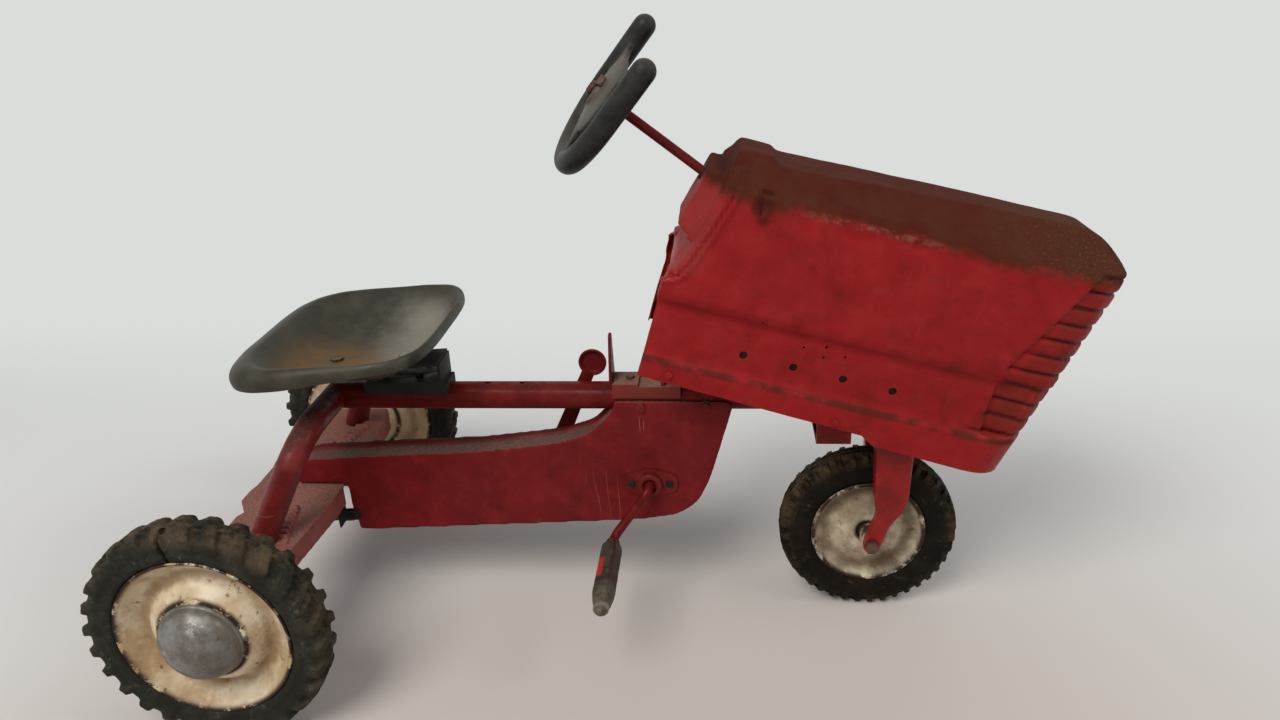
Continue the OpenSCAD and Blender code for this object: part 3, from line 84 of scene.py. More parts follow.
def fade(value, low, high):
    """0 at low, 1 at high and smooth between, either of which may be the larger."""
    t = min(1, max(0, (value - low) / (high - low)))
    return t * t * (3 - 2 * t)


def along(line, height):
    """First coordinate of a line of points at a height, which is their second."""
    for (x0, z0), (x1, z1) in zip(line, line[1:]):
        if height <= z1:
            return x0 + (x1 - x0) * max(0, height - z0) / (z1 - z0)
    return line[-1][0]


def away_from(line, x, z):
    """Distance of a point from a line of points."""
    point = Vector((x, z))
    best = 1e9
    for a, b in zip(line, line[1:]):
        a, b = Vector(a), Vector(b)
        t = min(1, max(0, (point - a).dot(b - a) / (b - a).length_squared))
        best = min(best, (point - a - t * (b - a)).length)
    return best


def bell(value, spread):
    """1 at 0, and falling away to both sides."""
    return math.exp(-(value / spread) ** 2)


def wavy(point, *waves):
    """How much an uneven sheet stands out at a point, from waves of a height and a pace each."""
    return sum(height * noise.noise(point * pace) for height, pace in waves)


def outwards(bm):
    bmesh.ops.recalc_face_normals(bm, faces=bm.faces[:])


def whole(bm):
    return bm.verts[:] + bm.edges[:] + bm.faces[:]


def cut(bm, spot, across, cleared=False):
    """Cuts a shape along a plane, and takes away what is past it if that is wanted."""
    return bmesh.ops.bisect_plane(bm, geom=whole(bm), plane_co=spot, plane_no=across,
                                  clear_outer=cleared)["geom_cut"]


def as_mesh(name, bm):
    mesh = bpy.data.meshes.new(name)
    bm.to_mesh(mesh)
    bm.free()
    return mesh


def linked(name, data):
    """A new object in the scene."""
    made = bpy.data.objects.new(name, data)
    bpy.context.scene.collection.objects.link(made)
    return made


def plate(points, thickness):
    """A flat plate from outline points (x, y, corner radius), from 0 up to its thickness."""
    bm = bmesh.new()
    corners = [bm.verts.new((x, y, 0)) for x, y, _ in points]
    bm.faces.new(corners)
    for i, (x, y, radius) in enumerate(points):
        if radius:
            before = Vector(points[i - 1][:2]) - Vector((x, y))
            after = Vector(points[(i + 1) % len(points)][:2]) - Vector((x, y))
            reach = radius / math.tan(before.angle(after) / 2)
            bmesh.ops.bevel(bm, geom=[corners[i]], offset=reach, offset_type="OFFSET", segments=6,
                            profile=0.5, affect="VERTICES", clamp_overlap=True, material=-1)
    grown = bmesh.ops.extrude_face_region(bm, geom=bm.faces[:])
    tops = [v for v in grown["geom"] if isinstance(v, bmesh.types.BMVert)]
    bmesh.ops.translate(bm, vec=(0, 0, thickness), verts=tops)
    outwards(bm)
    return bm


def slab(points, view, low, high):
    """A plate that fills low to high along its view."""
    bm = plate(points, high - low)
    bmesh.ops.translate(bm, vec=(0, 0, low), verts=bm.verts[:])
    bm.transform(view)
    return bm


def worked(bm, *steps):
    """The shape after Blender's modifiers, each given as its kind and settings."""
    made = linked("working", as_mesh("working", bm))
    helpers = []
    for kind, settings in steps:
        modifier = made.modifiers.new(kind, kind)
        for name, value in settings.items():
            if isinstance(value, bmesh.types.BMesh):
                value = linked("working", as_mesh("working", value))
                helpers.append(value)
            setattr(modifier, name, value)
    result = bmesh.new()
    result.from_object(made, bpy.context.evaluated_depsgraph_get())
    for used in [made, *helpers]:
        bpy.data.meshes.remove(used.data)
    return result


def joined(bm, operation, *others):
    settings = {"operation": operation, "solver": "EXACT"}
    return worked(bm, *[("BOOLEAN", {**settings, "object": other}) for other in others])


def softened(bm, grain, rounds):
    """The same shape in an even mesh of that grain, its edges rounded as a press leaves them."""
    soft = worked(bm, ("REMESH", {"mode": "VOXEL", "voxel_size": grain}))
    for _ in range(rounds):
        bmesh.ops.smooth_vert(soft, verts=soft.verts[:], factor=0.5, use_axis_x=True, use_axis_y=True,
                              use_axis_z=True)
    return soft


def pressed(bm, relief):
    """Moves each point along its normal by what relief says, in millimetres outwards."""
    bm.normal_update()
    moves = [(v, v.normal * relief(v.co, v.normal)) for v in bm.verts]
    for v, move in moves:
        v.co += move


def opened(bm, unwanted):
    """Deletes the faces whose middle is unwanted."""
    gone = [f for f in bm.faces if unwanted(f.calc_center_median(), f.normal)]
    bmesh.ops.delete(bm, geom=gone, context="FACES")


def punched(bm, x, z, radius, side):
    """A round hole through the sheet on one side, at a place seen from that side."""
    spot = Vector((x, z))

    def near(v, reach):
        return v.co.y * side > 40 and (Vector((v.co.x, v.co.z)) - spot).length < reach

    for _ in range(2 if radius < 2 else 1):
        ring = [e for e in bm.edges if all(near(v, 2 * radius + 3) for v in e.verts)]
        bmesh.ops.subdivide_edges(bm, edges=ring, cuts=1, use_grid_fill=True)
    inside = [f for f in bm.faces if near(f.verts[0], 3 * radius + 3)
              and (f.calc_center_median().xz - spot).length < radius]
    bmesh.ops.delete(bm, geom=inside, context="FACES")
    for v in bm.verts:
        if v.is_boundary and near(v, radius + 2):
            out = v.co.xz - spot
            out *= radius / out.length
            v.co.x, v.co.z = spot.x + out.x, spot.y + out.y


def walled(bm, thickness):
    """Gives an open skin its sheet thickness, inwards."""
    return worked(bm, ("SOLIDIFY", {"thickness": thickness, "offset": -1, "use_even_offset": True}))


def two_sided(half, *crest):
    """A profile (radius, width) that comes back on the other side, past its crest."""
    return [*half, *crest, *((radius, -width) for radius, width in reversed(half))]


def turned(profile, steps):
    """A closed line of points (radius, width) turned about the Y axis."""
    bm = bmesh.new()
    verts = [bm.verts.new((0, w, r)) for r, w in profile]
    edges = [bm.edges.new(pair) for pair in zip(verts, verts[1:] + verts[:1])]
    bmesh.ops.spin(bm, geom=verts + edges, cent=(0, 0, 0), axis=(0, 1, 0), angle=FULL_TURN, steps=steps,
                   use_merge=True)
    bmesh.ops.remove_doubles(bm, verts=bm.verts[:], dist=0.001)
    outwards(bm)
    return bm


def drawn_out(points, stations):
    """An outline carried up through stations of height and share of its size."""
    bm = plate(points, 1)
    foot = [v for v in bm.verts if v.co.z < 0.5]
    tip = max(bm.faces, key=lambda f: f.calc_center_median().z)
    (low, share), *later = stations
    bmesh.ops.scale(bm, vec=(share, share, 1), verts=foot)
    for v in foot:
        v.co.z = low
    now = 1
    for i, (height, share) in enumerate(later):
        if i:
            grown = bmesh.ops.extrude_face_region(bm, geom=[tip])
            bmesh.ops.delete(bm, geom=[tip], context="FACES_ONLY")
            tip = next(g for g in grown["geom"] if isinstance(g, bmesh.types.BMFace))
        bmesh.ops.scale(bm, vec=(share / now, share / now, 1), verts=tip.verts[:])
        for v in tip.verts:
            v.co.z = height
        now = share
    outwards(bm)
    return bm


def added(bm, other):
    """Puts a second shape into the first, as loose pieces of one mesh."""
    mesh = as_mesh("working", other)
    bm.from_mesh(mesh)
    bpy.data.meshes.remove(mesh)
    return bm


def copied(node):
    """A merged copy of a solid of the frame, in metres, with its flat faces whole."""
    bm = bmesh.new()
    bm.from_mesh(frame["nodes"][node].data)
    bmesh.ops.remove_doubles(bm, verts=bm.verts[:], dist=1e-6)
    bmesh.ops.dissolve_limit(bm, angle_limit=math.radians(0.5), verts=bm.verts[:], edges=bm.edges[:])
    return bm


def piece(name, bm, finish, nodes, place=FROM_AXLE, sharp=32, beside=None):
    """Sets a shape in its place as a piece that stands for solids of the frame, or moves beside one."""
    bm.transform(place)
    mesh = as_mesh(name, bm)
    mesh.shade_smooth()
    mesh.set_sharp_from_angle(angle=math.radians(sharp))
    material, slot = FINISHES[finish]
    mesh.materials.append(material)
    made = linked(name, mesh)
    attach(made, WITHIN[beside or nodes[0]])
    if nodes:
        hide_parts(*nodes)


def softer(name, node, finish, grain, rounds, relief=None):
    """A solid of the frame as a piece with the round edges of a pressing or a casting."""
    bm = softened(copied(node), grain, rounds)
    if relief:
        pressed(bm, relief)
    piece(name, bm, finish, [node], IN_METRES, 50)


# ---- finishes ----

class Graph:
    """Places shader nodes in one tree and joins their sockets."""

    def __init__(self, tree):
        self.tree = tree

    def place(self, kind, settings=None, inputs=None):
        node = self.tree.nodes.new(kind)
        for name, value in (settings or {}).items():
            setattr(node, name, value)
        for name, value in (inputs or {}).items():
            self.feed(node.inputs[name], value)
        return node

    def feed(self, socket, value):
        if isinstance(value, bpy.types.NodeSocket):
            self.tree.links.new(value, socket)
        else:
            socket.default_value = (*value, 1) if socket.type == "RGBA" and len(value) == 3 else value

    def maths(self, operation, a, b=0.0):
        return self.place("ShaderNodeMath", {"operation": operation}, {0: a, 1: b}).outputs[0]

    def times(self, a, b):
        return self.maths("MULTIPLY", a, b)

    def plus(self, a, b):
        return self.maths("ADD", a, b)

    def minus(self, a, b):
        return self.maths("SUBTRACT", a, b)

    def larger(self, a, b):
        return self.maths("MAXIMUM", a, b)

    def apart(self, a, b):
        """How far two values are apart."""
        return self.maths("ABSOLUTE", self.minus(a, b))

    def wavy(self, value, ragged, reach):
        """A value pushed up and down by a ragged pattern, by half the reach each way."""
        return self.plus(value, self.times(self.minus(ragged, 0.5), reach))

    def ramp(self, value, low, high, start=0.0, end=1.0):
        settings = {"interpolation_type": "SMOOTHSTEP"}
        inputs = {"Value": value, "From Min": low, "From Max": high, "To Min": start, "To Max": end}
        return self.place("ShaderNodeMapRange", settings, inputs).outputs[0]

    def falls(self, value, low, high):
        return self.ramp(value, low, high, 1.0, 0.0)

    def uneven(self, ragged, low, high):
        """A value that follows a ragged pattern from low to high."""
        return self.ramp(ragged, 0.3, 0.7, low, high)

    def mix(self, share, a, b):
        return self.place("ShaderNodeMix", {"data_type": "RGBA"}, {0: share, 6: a, 7: b}).outputs[2]

    def speckle(self, position, scale, detail=4.0, roughness=0.6):
        inputs = {"Vector": position, "Scale": scale, "Detail": detail, "Roughness": roughness}
        return self.place("ShaderNodeTexNoise", {}, inputs).outputs["Fac"]

    def parts(self, vector):
        return self.place("ShaderNodeSeparateXYZ", {}, {0: vector}).outputs


def effect(name, values):
    """A new node group that gives a mask: its graph, its named inputs and its output."""
    tree = bpy.data.node_groups.new(name, "ShaderNodeTree")
    tree.interface.new_socket("Position", in_out="INPUT", socket_type="NodeSocketVector")
    for value, default in values.items():
        socket = tree.interface.new_socket(value, in_out="INPUT", socket_type="NodeSocketFloat")
        socket.default_value = default
    tree.interface.new_socket("Mask", in_out="OUTPUT", socket_type="NodeSocketFloat")
    graph = Graph(tree)
    return graph, graph.place("NodeGroupInput").outputs, graph.place("NodeGroupOutput").inputs["Mask"]


def make_patches():
    """Ragged patches: paint that has faded, flaked or gone."""
    graph, given, out = effect("Ragged patches", {"Scale": 20, "Cover": 0.3, "Softness": 0.08})
    broad = graph.speckle(given["Position"], given["Scale"], 5, 0.62)
    fine = graph.speckle(given["Position"], graph.times(given["Scale"], 9.0), 4, 0.65)
    both = graph.plus(graph.times(broad, 0.8), graph.times(fine, 0.2))
    edge = graph.minus(0.72, graph.times(given["Cover"], 0.45))
    soft = given["Softness"]
    graph.feed(out, graph.ramp(both, graph.minus(edge, soft), graph.plus(edge, soft)))
    return graph.tree


def make_settled_dirt():
    """Dirt that lies where a surface faces up, thinning out raggedly."""
    graph, given, out = effect("Settled dirt", {"Steepness": 0.6, "Scale": 40, "Raggedness": 1.1})
    up = graph.parts(graph.place("ShaderNodeNewGeometry").outputs["Normal"])["Z"]
    ragged = graph.speckle(given["Position"], given["Scale"], 6, 0.7)
    uneven = graph.times(graph.minus(ragged, 0.5), given["Raggedness"])
    steep = given["Steepness"]
    graph.feed(out, graph.ramp(graph.plus(up, uneven), graph.minus(steep, 0.25), graph.plus(steep, 0.25)))
    return graph.tree


def make_scratches():
    """Fine lines where something has scraped past, in loose groups."""
    graph, given, out = effect("Scratches", {"Scale": 40, "Width": 0.004, "Cover": 0.3})
    bent = graph.speckle(given["Position"], graph.times(given["Scale"], 0.7), 2, 0.5)
    line = graph.falls(graph.apart(bent, 0.5), 0.0, given["Width"])
    where = graph.speckle(given["Position"], given["Scale"], 3, 0.5)
    edge = graph.minus(0.7, graph.times(given["Cover"], 0.4))
    group = graph.ramp(where, edge, graph.plus(edge, 0.05))
    graph.feed(out, graph.times(line, group))
    return graph.tree


PATCHES = make_patches()
SETTLED_DIRT = make_settled_dirt()
SCRATCHES = make_scratches()


class Finish(Graph):
    """A material under construction: its graph, its shader and the object's own coordinates."""

    def __init__(self, name):
        self.material = bpy.data.materials.new(name)
        self.material.use_nodes = True
        super().__init__(self.material.node_tree)
        self.shader = self.tree.nodes["Principled BSDF"]
        self.position = self.place("ShaderNodeTexCoord").outputs["Object"]

    def group(self, tree, position=None, **values):
        inputs = {"Position": position or self.position}
        inputs.update({key.capitalize(): value for key, value in values.items()})
        return self.place("ShaderNodeGroup", {"node_tree": tree}, inputs).outputs[0]

    def ragged(self, scale, detail=4.0, roughness=0.6):
        return self.speckle(self.position, scale, detail, roughness)

    def patches(self, scale, cover, softness):
        return self.group(PATCHES, scale=scale, cover=cover, softness=softness)

    def coat(self, tone, mask, strength=None):
        """Lays a tone over the colour so far where the mask says, at most as strongly as given."""
        share = mask if strength is None else self.times(mask, strength)
        self.colour = self.mix(share, self.colour, tone)

    def local(self, centre, turn=(0, 0, 0)):
        """Coordinates measured from a place, given in metres, and in its own slope."""
        inputs = {"Vector": self.position, "Location": centre, "Rotation": turn}
        return self.place("ShaderNodeMapping", {"vector_type": "TEXTURE"}, inputs).outputs[0]

    def length(self, vector):
        return self.place("ShaderNodeVectorMath", {"operation": "LENGTH"}, {0: vector}).outputs["Value"]

    def radius_about(self, centre):
        """Distance from a wheel's axis, in metres."""
        from_axis = self.parts(self.local(centre))
        flat = self.place("ShaderNodeCombineXYZ", {}, {"X": from_axis["X"], "Z": from_axis["Z"]})
        return self.length(flat.outputs[0])

    def near(self, place, inner, outer):
        """1 within the inner distance of a place, fading to 0 at the outer one, in metres."""
        return self.falls(self.length(self.local(place)), inner, outer)

    def stretched(self, factors):
        """The object's coordinates, drawn out along one way so that a pattern runs that way."""
        inputs = {0: self.position, 1: factors}
        return self.place("ShaderNodeVectorMath", {"operation": "MULTIPLY"}, inputs).outputs["Vector"]

    def finish(self, roughness, height=None, strength=0.3, depth=0.0005, metallic=0.0, gloss=0.2):
        self.shader.inputs["Specular IOR Level"].default_value = gloss
        self.feed(self.shader.inputs["Base Color"], self.colour)
        self.feed(self.shader.inputs["Roughness"], roughness)
        self.feed(self.shader.inputs["Metallic"], metallic)
        if height is not None:
            inputs = {"Height": height, "Strength": strength, "Distance": depth}
            bump = self.place("ShaderNodeBump", {}, inputs)
            self.feed(self.shader.inputs["Normal"], bump.outputs[0])
        return self.material


CRIMSON = (0.265, 0.0085, 0.0095)
DEEP_RED = (0.15, 0.006, 0.007)
FADED_RED = (0.34, 0.030, 0.026)
BAKED_DIRT = (0.038, 0.0050, 0.0020)
DRIED_DIRT = (0.050, 0.0125, 0.0056)
DUST = (0.20, 0.135, 0.090)
OLIVE_GRIT = (0.12, 0.060, 0.018)
RUST = (0.085, 0.026, 0.010)
# Dark rust, and also the painted shade on the case's top past its seam
DARK_RUST_AND_SHADE = (0.030, 0.013, 0.008)
SCRAPED = (0.36, 0.17, 0.12)
BARE_STEEL = (0.26, 0.24, 0.215)
OLD_STEEL = (0.12, 0.07, 0.048)
# Paint of the wheel discs: a tone with painted light, a tone with painted shade, and stain
REAR_CREAM = ((0.69, 0.59, 0.43), (0.44, 0.315, 0.175), (0.24, 0.135, 0.055))
FRONT_CREAM = ((0.66, 0.57, 0.42), (0.26, 0.20, 0.13), (0.085, 0.048, 0.022))
SOOT = (0.007, 0.006, 0.005)
SOOT_DUST = (0.020, 0.017, 0.013)
WHEEL_BLACK = (0.0065, 0.0065, 0.0050)
WHEEL_DUST = (0.024, 0.023, 0.018)
RUBBER = (0.0135, 0.0125, 0.0090)
RUBBER_FADED = (0.034, 0.032, 0.024)
TREAD_SOIL = (0.092, 0.060, 0.031)
SEAT_BLACK = (0.026, 0.0225, 0.015)
SEAT_DULL = (0.052, 0.045, 0.031)
SEAT_WORN_LIT_GREY = (0.225, 0.205, 0.162)
SEAT_WORN = (0.125, 0.062, 0.016)
PALE_MARK = (0.58, 0.48, 0.36)
DASH_RED = (0.26, 0.050, 0.040)
BROWN_STAIN = (0.050, 0.015, 0.006)
OLIVE_STAIN = (0.044, 0.021, 0.0075)
GROOVE_SHADE = (0.030, 0.006, 0.004)
RUBBED_HIGHLIGHT_RED = (0.19, 0.075, 0.045)
NOTCH_SHADE = (0.035, 0.006, 0.003)
BROWN_SPOT = (0.13, 0.065, 0.025)
SCUFF_GREY = (0.20, 0.19, 0.16)
SEAT_STREAK = (0.24, 0.225, 0.18)
HOLLOW_DUST = (0.10, 0.085, 0.062)
PLATE_SHADE = (0.085, 0.074, 0.068)
PLATE_BLOTCH = (0.085, 0.066, 0.050)
PLATE_PIT = (0.09, 0.045, 0.018)
PEDAL_SHADED_MAROON = (0.028, 0.006, 0.005)
PEDAL_SCRAPED = (0.36, 0.030, 0.018)
PLATE_TONES = ((0.50, 0.52, 0.53), (0.20, 0.185, 0.165))
WEB_DUST = ((0.05, 0.042, 0.033), (0.10, 0.083, 0.066))
PEDAL_TONES = ((0.028, 0.024, 0.018), (0.06, 0.052, 0.038))
PEDAL_TIP = ((0.10, 0.082, 0.055), (0.05, 0.04, 0.028))


def on_object(forward, out, up):
    """A place of the drawing, in metres of the frame."""
    return FROM_AXLE @ Vector((forward, out, up))


def red_paint(name, paint=CRIMSON, dirt_from=0.75, rust_cover=0.10, grime=0.25, film=0.8, raggedness=1.1,
              soil=(DRIED_DIRT, DUST), shine=(0.32, 0.52), marks=(), gloss=0.1):
    """Old sprayed enamel with faded patches, grime, chips down to rust and dirt on top, and on the case
    painted shade along the far part of its top.
    """
    f = Finish(name)
    f.colour = f.mix(f.patches(14, 0.5, 0.2), paint, tuple(0.76 * part for part in paint))
    f.coat(FADED_RED, f.patches(45, 0.35, 0.12), 0.22)
    f.coat(BAKED_DIRT, f.patches(30, grime, 0.12), 0.5)
    f.coat(SCRAPED, f.group(SCRATCHES, scale=12, width=0.003, cover=0.2), 0.3)
    for place, reach, strength in marks:
        upright = f.group(SCRATCHES, f.stretched((1, 1, 0.10)), scale=60, width=0.008, cover=0.6)
        there = f.times(f.near(place, reach * 0.4, reach), strength)
        f.coat(SCRAPED, f.times(upright, there))
    chips = f.patches(90, rust_cover, 0.02)
    f.coat(RUST, chips)
    dirt = f.group(SETTLED_DIRT, steepness=dirt_from, scale=30, raggedness=raggedness)
    if marks:
        # On the case the soil turns dark from 2 to 8 mm across: painted shade along the seam, beyond the
        # dust strip
        soil = [f.mix(f.ramp(f.parts(f.position)["Y"], 0.002, 0.008), tone, DARK_RUST_AND_SHADE) for tone in soil]
    grit = f.ragged(420, 3)
    f.coat(f.mix(f.ramp(grit, 0.45, 0.7), *soil), f.times(dirt, film))
    dull = f.plus(f.times(dirt, 0.3), f.ramp(f.ragged(60), 0.3, 0.7, *shine))
    height = f.plus(f.times(chips, -0.5), f.times(grit, 0.35))
    return f.finish(dull, height, 0.22, 0.0004, gloss=gloss)


def hood_paint():
    """The hood's enamel, under brown baked dirt on its top, its ribbed front and its lower ledge."""
    f = Finish("hood_crimson_enamel")
    own = f.local(FROM_AXLE @ HOOD_FOOT, (0, HOOD_TILT, 0))
    x, z = (f.parts(own)[axis] for axis in "XZ")
    f.colour = f.mix(f.times(f.patches(11, 0.42, 0.22), 0.55), CRIMSON, DEEP_RED)
    f.coat(FADED_RED, f.patches(38, 0.4, 0.14), 0.25)
    f.coat(BAKED_DIRT, f.patches(26, 0.28, 0.14), 0.4)
    dash = f.times(f.falls(x, 0.020, 0.040), f.ramp(z, 0.106, 0.116))
    f.coat(DASH_RED, dash, 0.3)
    ragged = f.ragged(22, 7, 0.68)
    baked = f.ramp(f.wavy(z, ragged, 0.03), 0.183, 0.198)
    ribbed = f.ramp(f.minus(x, f.times(f.minus(z, 0.055), 0.36)), 0.329, 0.341)
    ribbed = f.times(ribbed, f.ramp(z, 0.018, 0.024))
    grille = f.times(ribbed, f.ramp(ragged, 0.3, 0.75, 0.15, 0.55))
    nose = f.ramp(f.minus(x, f.times(z, 0.19)), 0.376, 0.392)
    ledge = f.ramp(f.apart(z, 0.0165), 0.001, 0.006, 0.8, 0.0)
    ledge = f.times(ledge, f.ramp(ragged, 0.35, 0.55))
    soiled = f.larger(f.larger(baked, grille), f.larger(ledge, f.times(nose, 0.8)))
    grit = f.ragged(380, 4, 0.7)
    gritty = f.times(f.ramp(grit, 0.53, 0.70), f.ramp(x, 0.24, 0.40, 0.06, 0.8))
    gritty = f.times(gritty, f.ramp(z, 0.150, 0.185, 0.15, 1.0))
    brown = f.mix(f.ramp(ragged, 0.35, 0.65), BAKED_DIRT, DRIED_DIRT)
    brown = f.mix(f.patches(30, 0.5, 0.15), brown, BROWN_STAIN)
    brown = f.mix(f.ramp(x, 0.24, 0.40, 0.0, 0.6), brown, OLIVE_STAIN)
    f.coat(f.mix(gritty, brown, OLIVE_GRIT), soiled, 0.93)
    # Painted shade in the grooves between the grille's ribs
    turn = f.maths("FRACT", f.plus(f.maths("DIVIDE", f.minus(z, 0.024), RIB_PITCH * MM), 0.5))
    groove = f.falls(f.apart(turn, 0.5), 0.03, 0.16)
    f.coat(GROOVE_SHADE, f.times(groove, f.times(ribbed, 0.75)))
    # Along the middle of the shoulder's edge: scuffs, and painted highlight
    rubbed_and_highlit = f.falls(f.apart(z, 0.192), 0.001, 0.005)
    rubbed_and_highlit = f.times(rubbed_and_highlit, f.falls(f.apart(x, 0.175), 0.04, 0.085))
    rubbed_and_highlit = f.times(rubbed_and_highlit, f.patches(90, 0.45, 0.05))
    f.coat(RUBBED_HIGHLIGHT_RED, rubbed_and_highlit, 0.6)
    # Painted shade in the notch under the shoulder, on the near side
    notch_shade = f.larger(f.near(IN_HOOD @ Vector((70, -80, 188)), 0.007, 0.014),
                   f.near(IN_HOOD @ Vector((73, -80, 177)), 0.002, 0.009))
    f.coat(NOTCH_SHADE, notch_shade, 0.75)
    chips = f.patches(80, 0.05, 0.02)
    f.coat(RUST, chips)
    dull = f.plus(f.times(soiled, 0.5), f.uneven(ragged, 0.33, 0.48))
    dull = f.plus(dull, f.times(dash, 0.25))
    height = f.plus(f.times(gritty, f.times(soiled, 0.8)), f.times(ragged, 0.6))
    return f.finish(dull, height, 0.3, 0.0006, gloss=0.12)


def cream_paint(name, node, tones, ring, spread, edges):
    """Cream enamel on a wheel disc, mottled with painted light and painted shade, stained in a ring and
    chipped to rust at its edges, with painted shade at the front hub's hole.
    """
    f = Finish(name)
    light, shade, stain = tones
    radius = f.radius_about(middle(node))
    ragged = f.ragged(45, 6, 0.65)
    # Mottled between the tone with painted light and the tone with painted shade
    f.colour = f.mix(f.ramp(f.ragged(16, 4), 0.36, 0.62), light, shade)
    from_ring = f.apart(f.wavy(radius, ragged, 0.018), ring)
    f.coat(stain, f.ramp(from_ring, 0.001, spread, 0.7, 0.0))
    f.coat(stain, f.patches(28, 0.35, 0.10), 0.55)
    f.coat(BROWN_SPOT, f.patches(80, 0.22, 0.03), 0.8)
    # Dark chips at the edges: rust, and at the front hub painted shade as well
    inner, outer = (f.falls(f.apart(radius, edge), 0.0010, 0.0052) for edge in edges)
    worn = f.times(f.larger(inner, outer), f.patches(70, 0.6, 0.05))
    chips = f.larger(worn, f.patches(150, 0.10, 0.02))
    f.coat(DARK_RUST_AND_SHADE, chips)
    height = f.plus(f.times(chips, -0.8), f.times(ragged, 0.4))
    return f.finish(f.uneven(ragged, 0.42, 0.65), height)


def tyre_rubber(name, node, tread_radius, share, wall=(RUBBER, RUBBER_FADED)):
    """Hard old rubber, black on its wall, with dried soil on the tread, most of it at the top."""
    f = Finish(name)
    radius = f.radius_about(middle(node))
    ragged = f.ragged(30, 7, 0.7)
    fine = f.ragged(260, 4, 0.7)
    grey = f.mix(f.ramp(ragged, 0.4, 0.7), *wall)
    on_tread = f.ramp(radius, tread_radius - 0.016, tread_radius)
    high = f.ramp(f.parts(f.local(middle(node)))["Z"], -0.02, 0.09, 0.45, 1.0)
    soil = f.ramp(f.plus(ragged, f.times(fine, 0.25)), 0.50, 0.74)
    soil = f.times(f.times(soil, on_tread), high)
    f.colour = f.mix(f.times(soil, share), grey, TREAD_SOIL)
    f.coat(SCUFF_GREY, f.group(SCRATCHES, scale=60, width=0.010, cover=0.4), 0.22)
    height = f.plus(fine, f.times(ragged, 1.5))
    return f.finish(f.uneven(ragged, 0.55, 0.8), height, 0.35, 0.0008, gloss=0.12)


def tarnished_plate():
    """Thin plating gone dull and blue-grey, with painted shade towards its lower front, pitted and
    blotched brown.
    """
    f = Finish("tarnished_plating")
    ragged = f.ragged(38, 7, 0.7)
    blotch = f.patches(26, 0.70, 0.035)
    f.colour = f.mix(f.ramp(ragged, 0.40, 0.60), *PLATE_TONES)
    # Painted shade growing towards the cap's lower front
    slant = f.parts(f.local(middle("hub_cap_right")))
    below = f.plus(f.minus(slant["X"], slant["Z"]), f.times(ragged, 0.02))
    f.coat(PLATE_SHADE, f.ramp(below, -0.008, 0.034), 0.5)
    f.coat(PLATE_BLOTCH, blotch, 0.7)
    pits = f.patches(150, 0.2, 0.03)
    f.coat(PLATE_PIT, pits)
    height = f.plus(f.times(pits, -1.0), ragged)
    bright = f.ramp(blotch, 0.0, 1.0, 0.75, 0.35)
    return f.finish(f.uneven(ragged, 0.30, 0.5), height, 0.35, 0.0005, bright, 0.5)


def metal(name, base, cover, metallic):
    """Steel with rust in ragged patches."""
    f = Finish(name)
    ragged = f.ragged(90, 6, 0.7)
    rusted = f.patches(70, cover, 0.1)
    f.colour = f.mix(rusted, base, f.mix(f.ramp(ragged, 0.4, 0.6), RUST, DARK_RUST_AND_SHADE))
    shine = f.ramp(rusted, 0.0, 1.0, metallic, 0.05)
    return f.finish(f.uneven(ragged, 0.4, 0.7), ragged, 0.35, 0.0005, shine, 0.5)


def seat_black():
    """Black enamel, grey at the front of the pan from wear and painted light, brown where the rider sat,
    with one drop of pale paint.
    """
    f = Finish("worn_black_seat")
    own = f.local(FROM_AXLE @ SEAT_MIDDLE, (0, SEAT_TILT, 0))
    x, z = (f.parts(own)[axis] for axis in "XZ")
    ragged = f.ragged(24, 7, 0.68)
    fine = f.ragged(240, 4, 0.7)
    up = f.parts(f.place("ShaderNodeNewGeometry").outputs["Normal"])["Z"]
    in_pan = f.times(f.falls(z, -0.030, -0.004), f.ramp(up, 0.1, 0.5))
    f.colour = f.mix(f.ramp(ragged, 0.35, 0.7), SEAT_BLACK, SEAT_DULL)
    # Grey over the front of the pan: worn paint, and painted light
    ahead = f.ramp(f.plus(x, f.times(ragged, 0.06)), 0.0, 0.085)
    f.coat(SEAT_WORN_LIT_GREY, f.times(in_pan, ahead), 0.85)
    worn = f.near(FROM_AXLE @ (SEAT_MIDDLE + Vector((-38, -22, -42))), 0.025, 0.085)
    worn = f.times(worn, f.ramp(ragged, 0.3, 0.62, 0.35, 0.95))
    f.coat(SEAT_WORN, f.times(worn, in_pan))
    streaks = f.speckle(f.stretched((0.35, 1, 1)), 150, 4, 0.7)
    streaks = f.times(f.times(f.ramp(streaks, 0.5, 0.7), in_pan), ahead)
    f.coat(SEAT_STREAK, streaks, 0.35)
    f.coat(PALE_MARK, f.near(on_object(44, -118, 332), 0.0038, 0.0058))
    height = f.plus(fine, f.times(ragged, 1.2))
    return f.finish(f.uneven(ragged, 0.34, 0.54), height)


def moulded_black(name, base, dusty, roughness=(0.4, 0.6), web=None, dust=0.3):
    """Dark moulded or painted surface with dust in its hollows, and a paler web about a node."""
    f = Finish(name)
    ragged = f.ragged(35, 6, 0.68)
    fine = f.ragged(300, 3)
    dirt = f.group(SETTLED_DIRT, steepness=0.7, scale=50, raggedness=0.8)
    f.colour = f.mix(f.ramp(ragged, 0.35, 0.7), base, dusty)
    if web:
        f.coat(f.mix(ragged, *WEB_DUST), f.near(middle(web), 0.030, 0.058))
    f.coat(HOLLOW_DUST, dirt, dust)
    return f.finish(f.uneven(ragged, *roughness), f.plus(fine, ragged), 0.25, 0.0005)


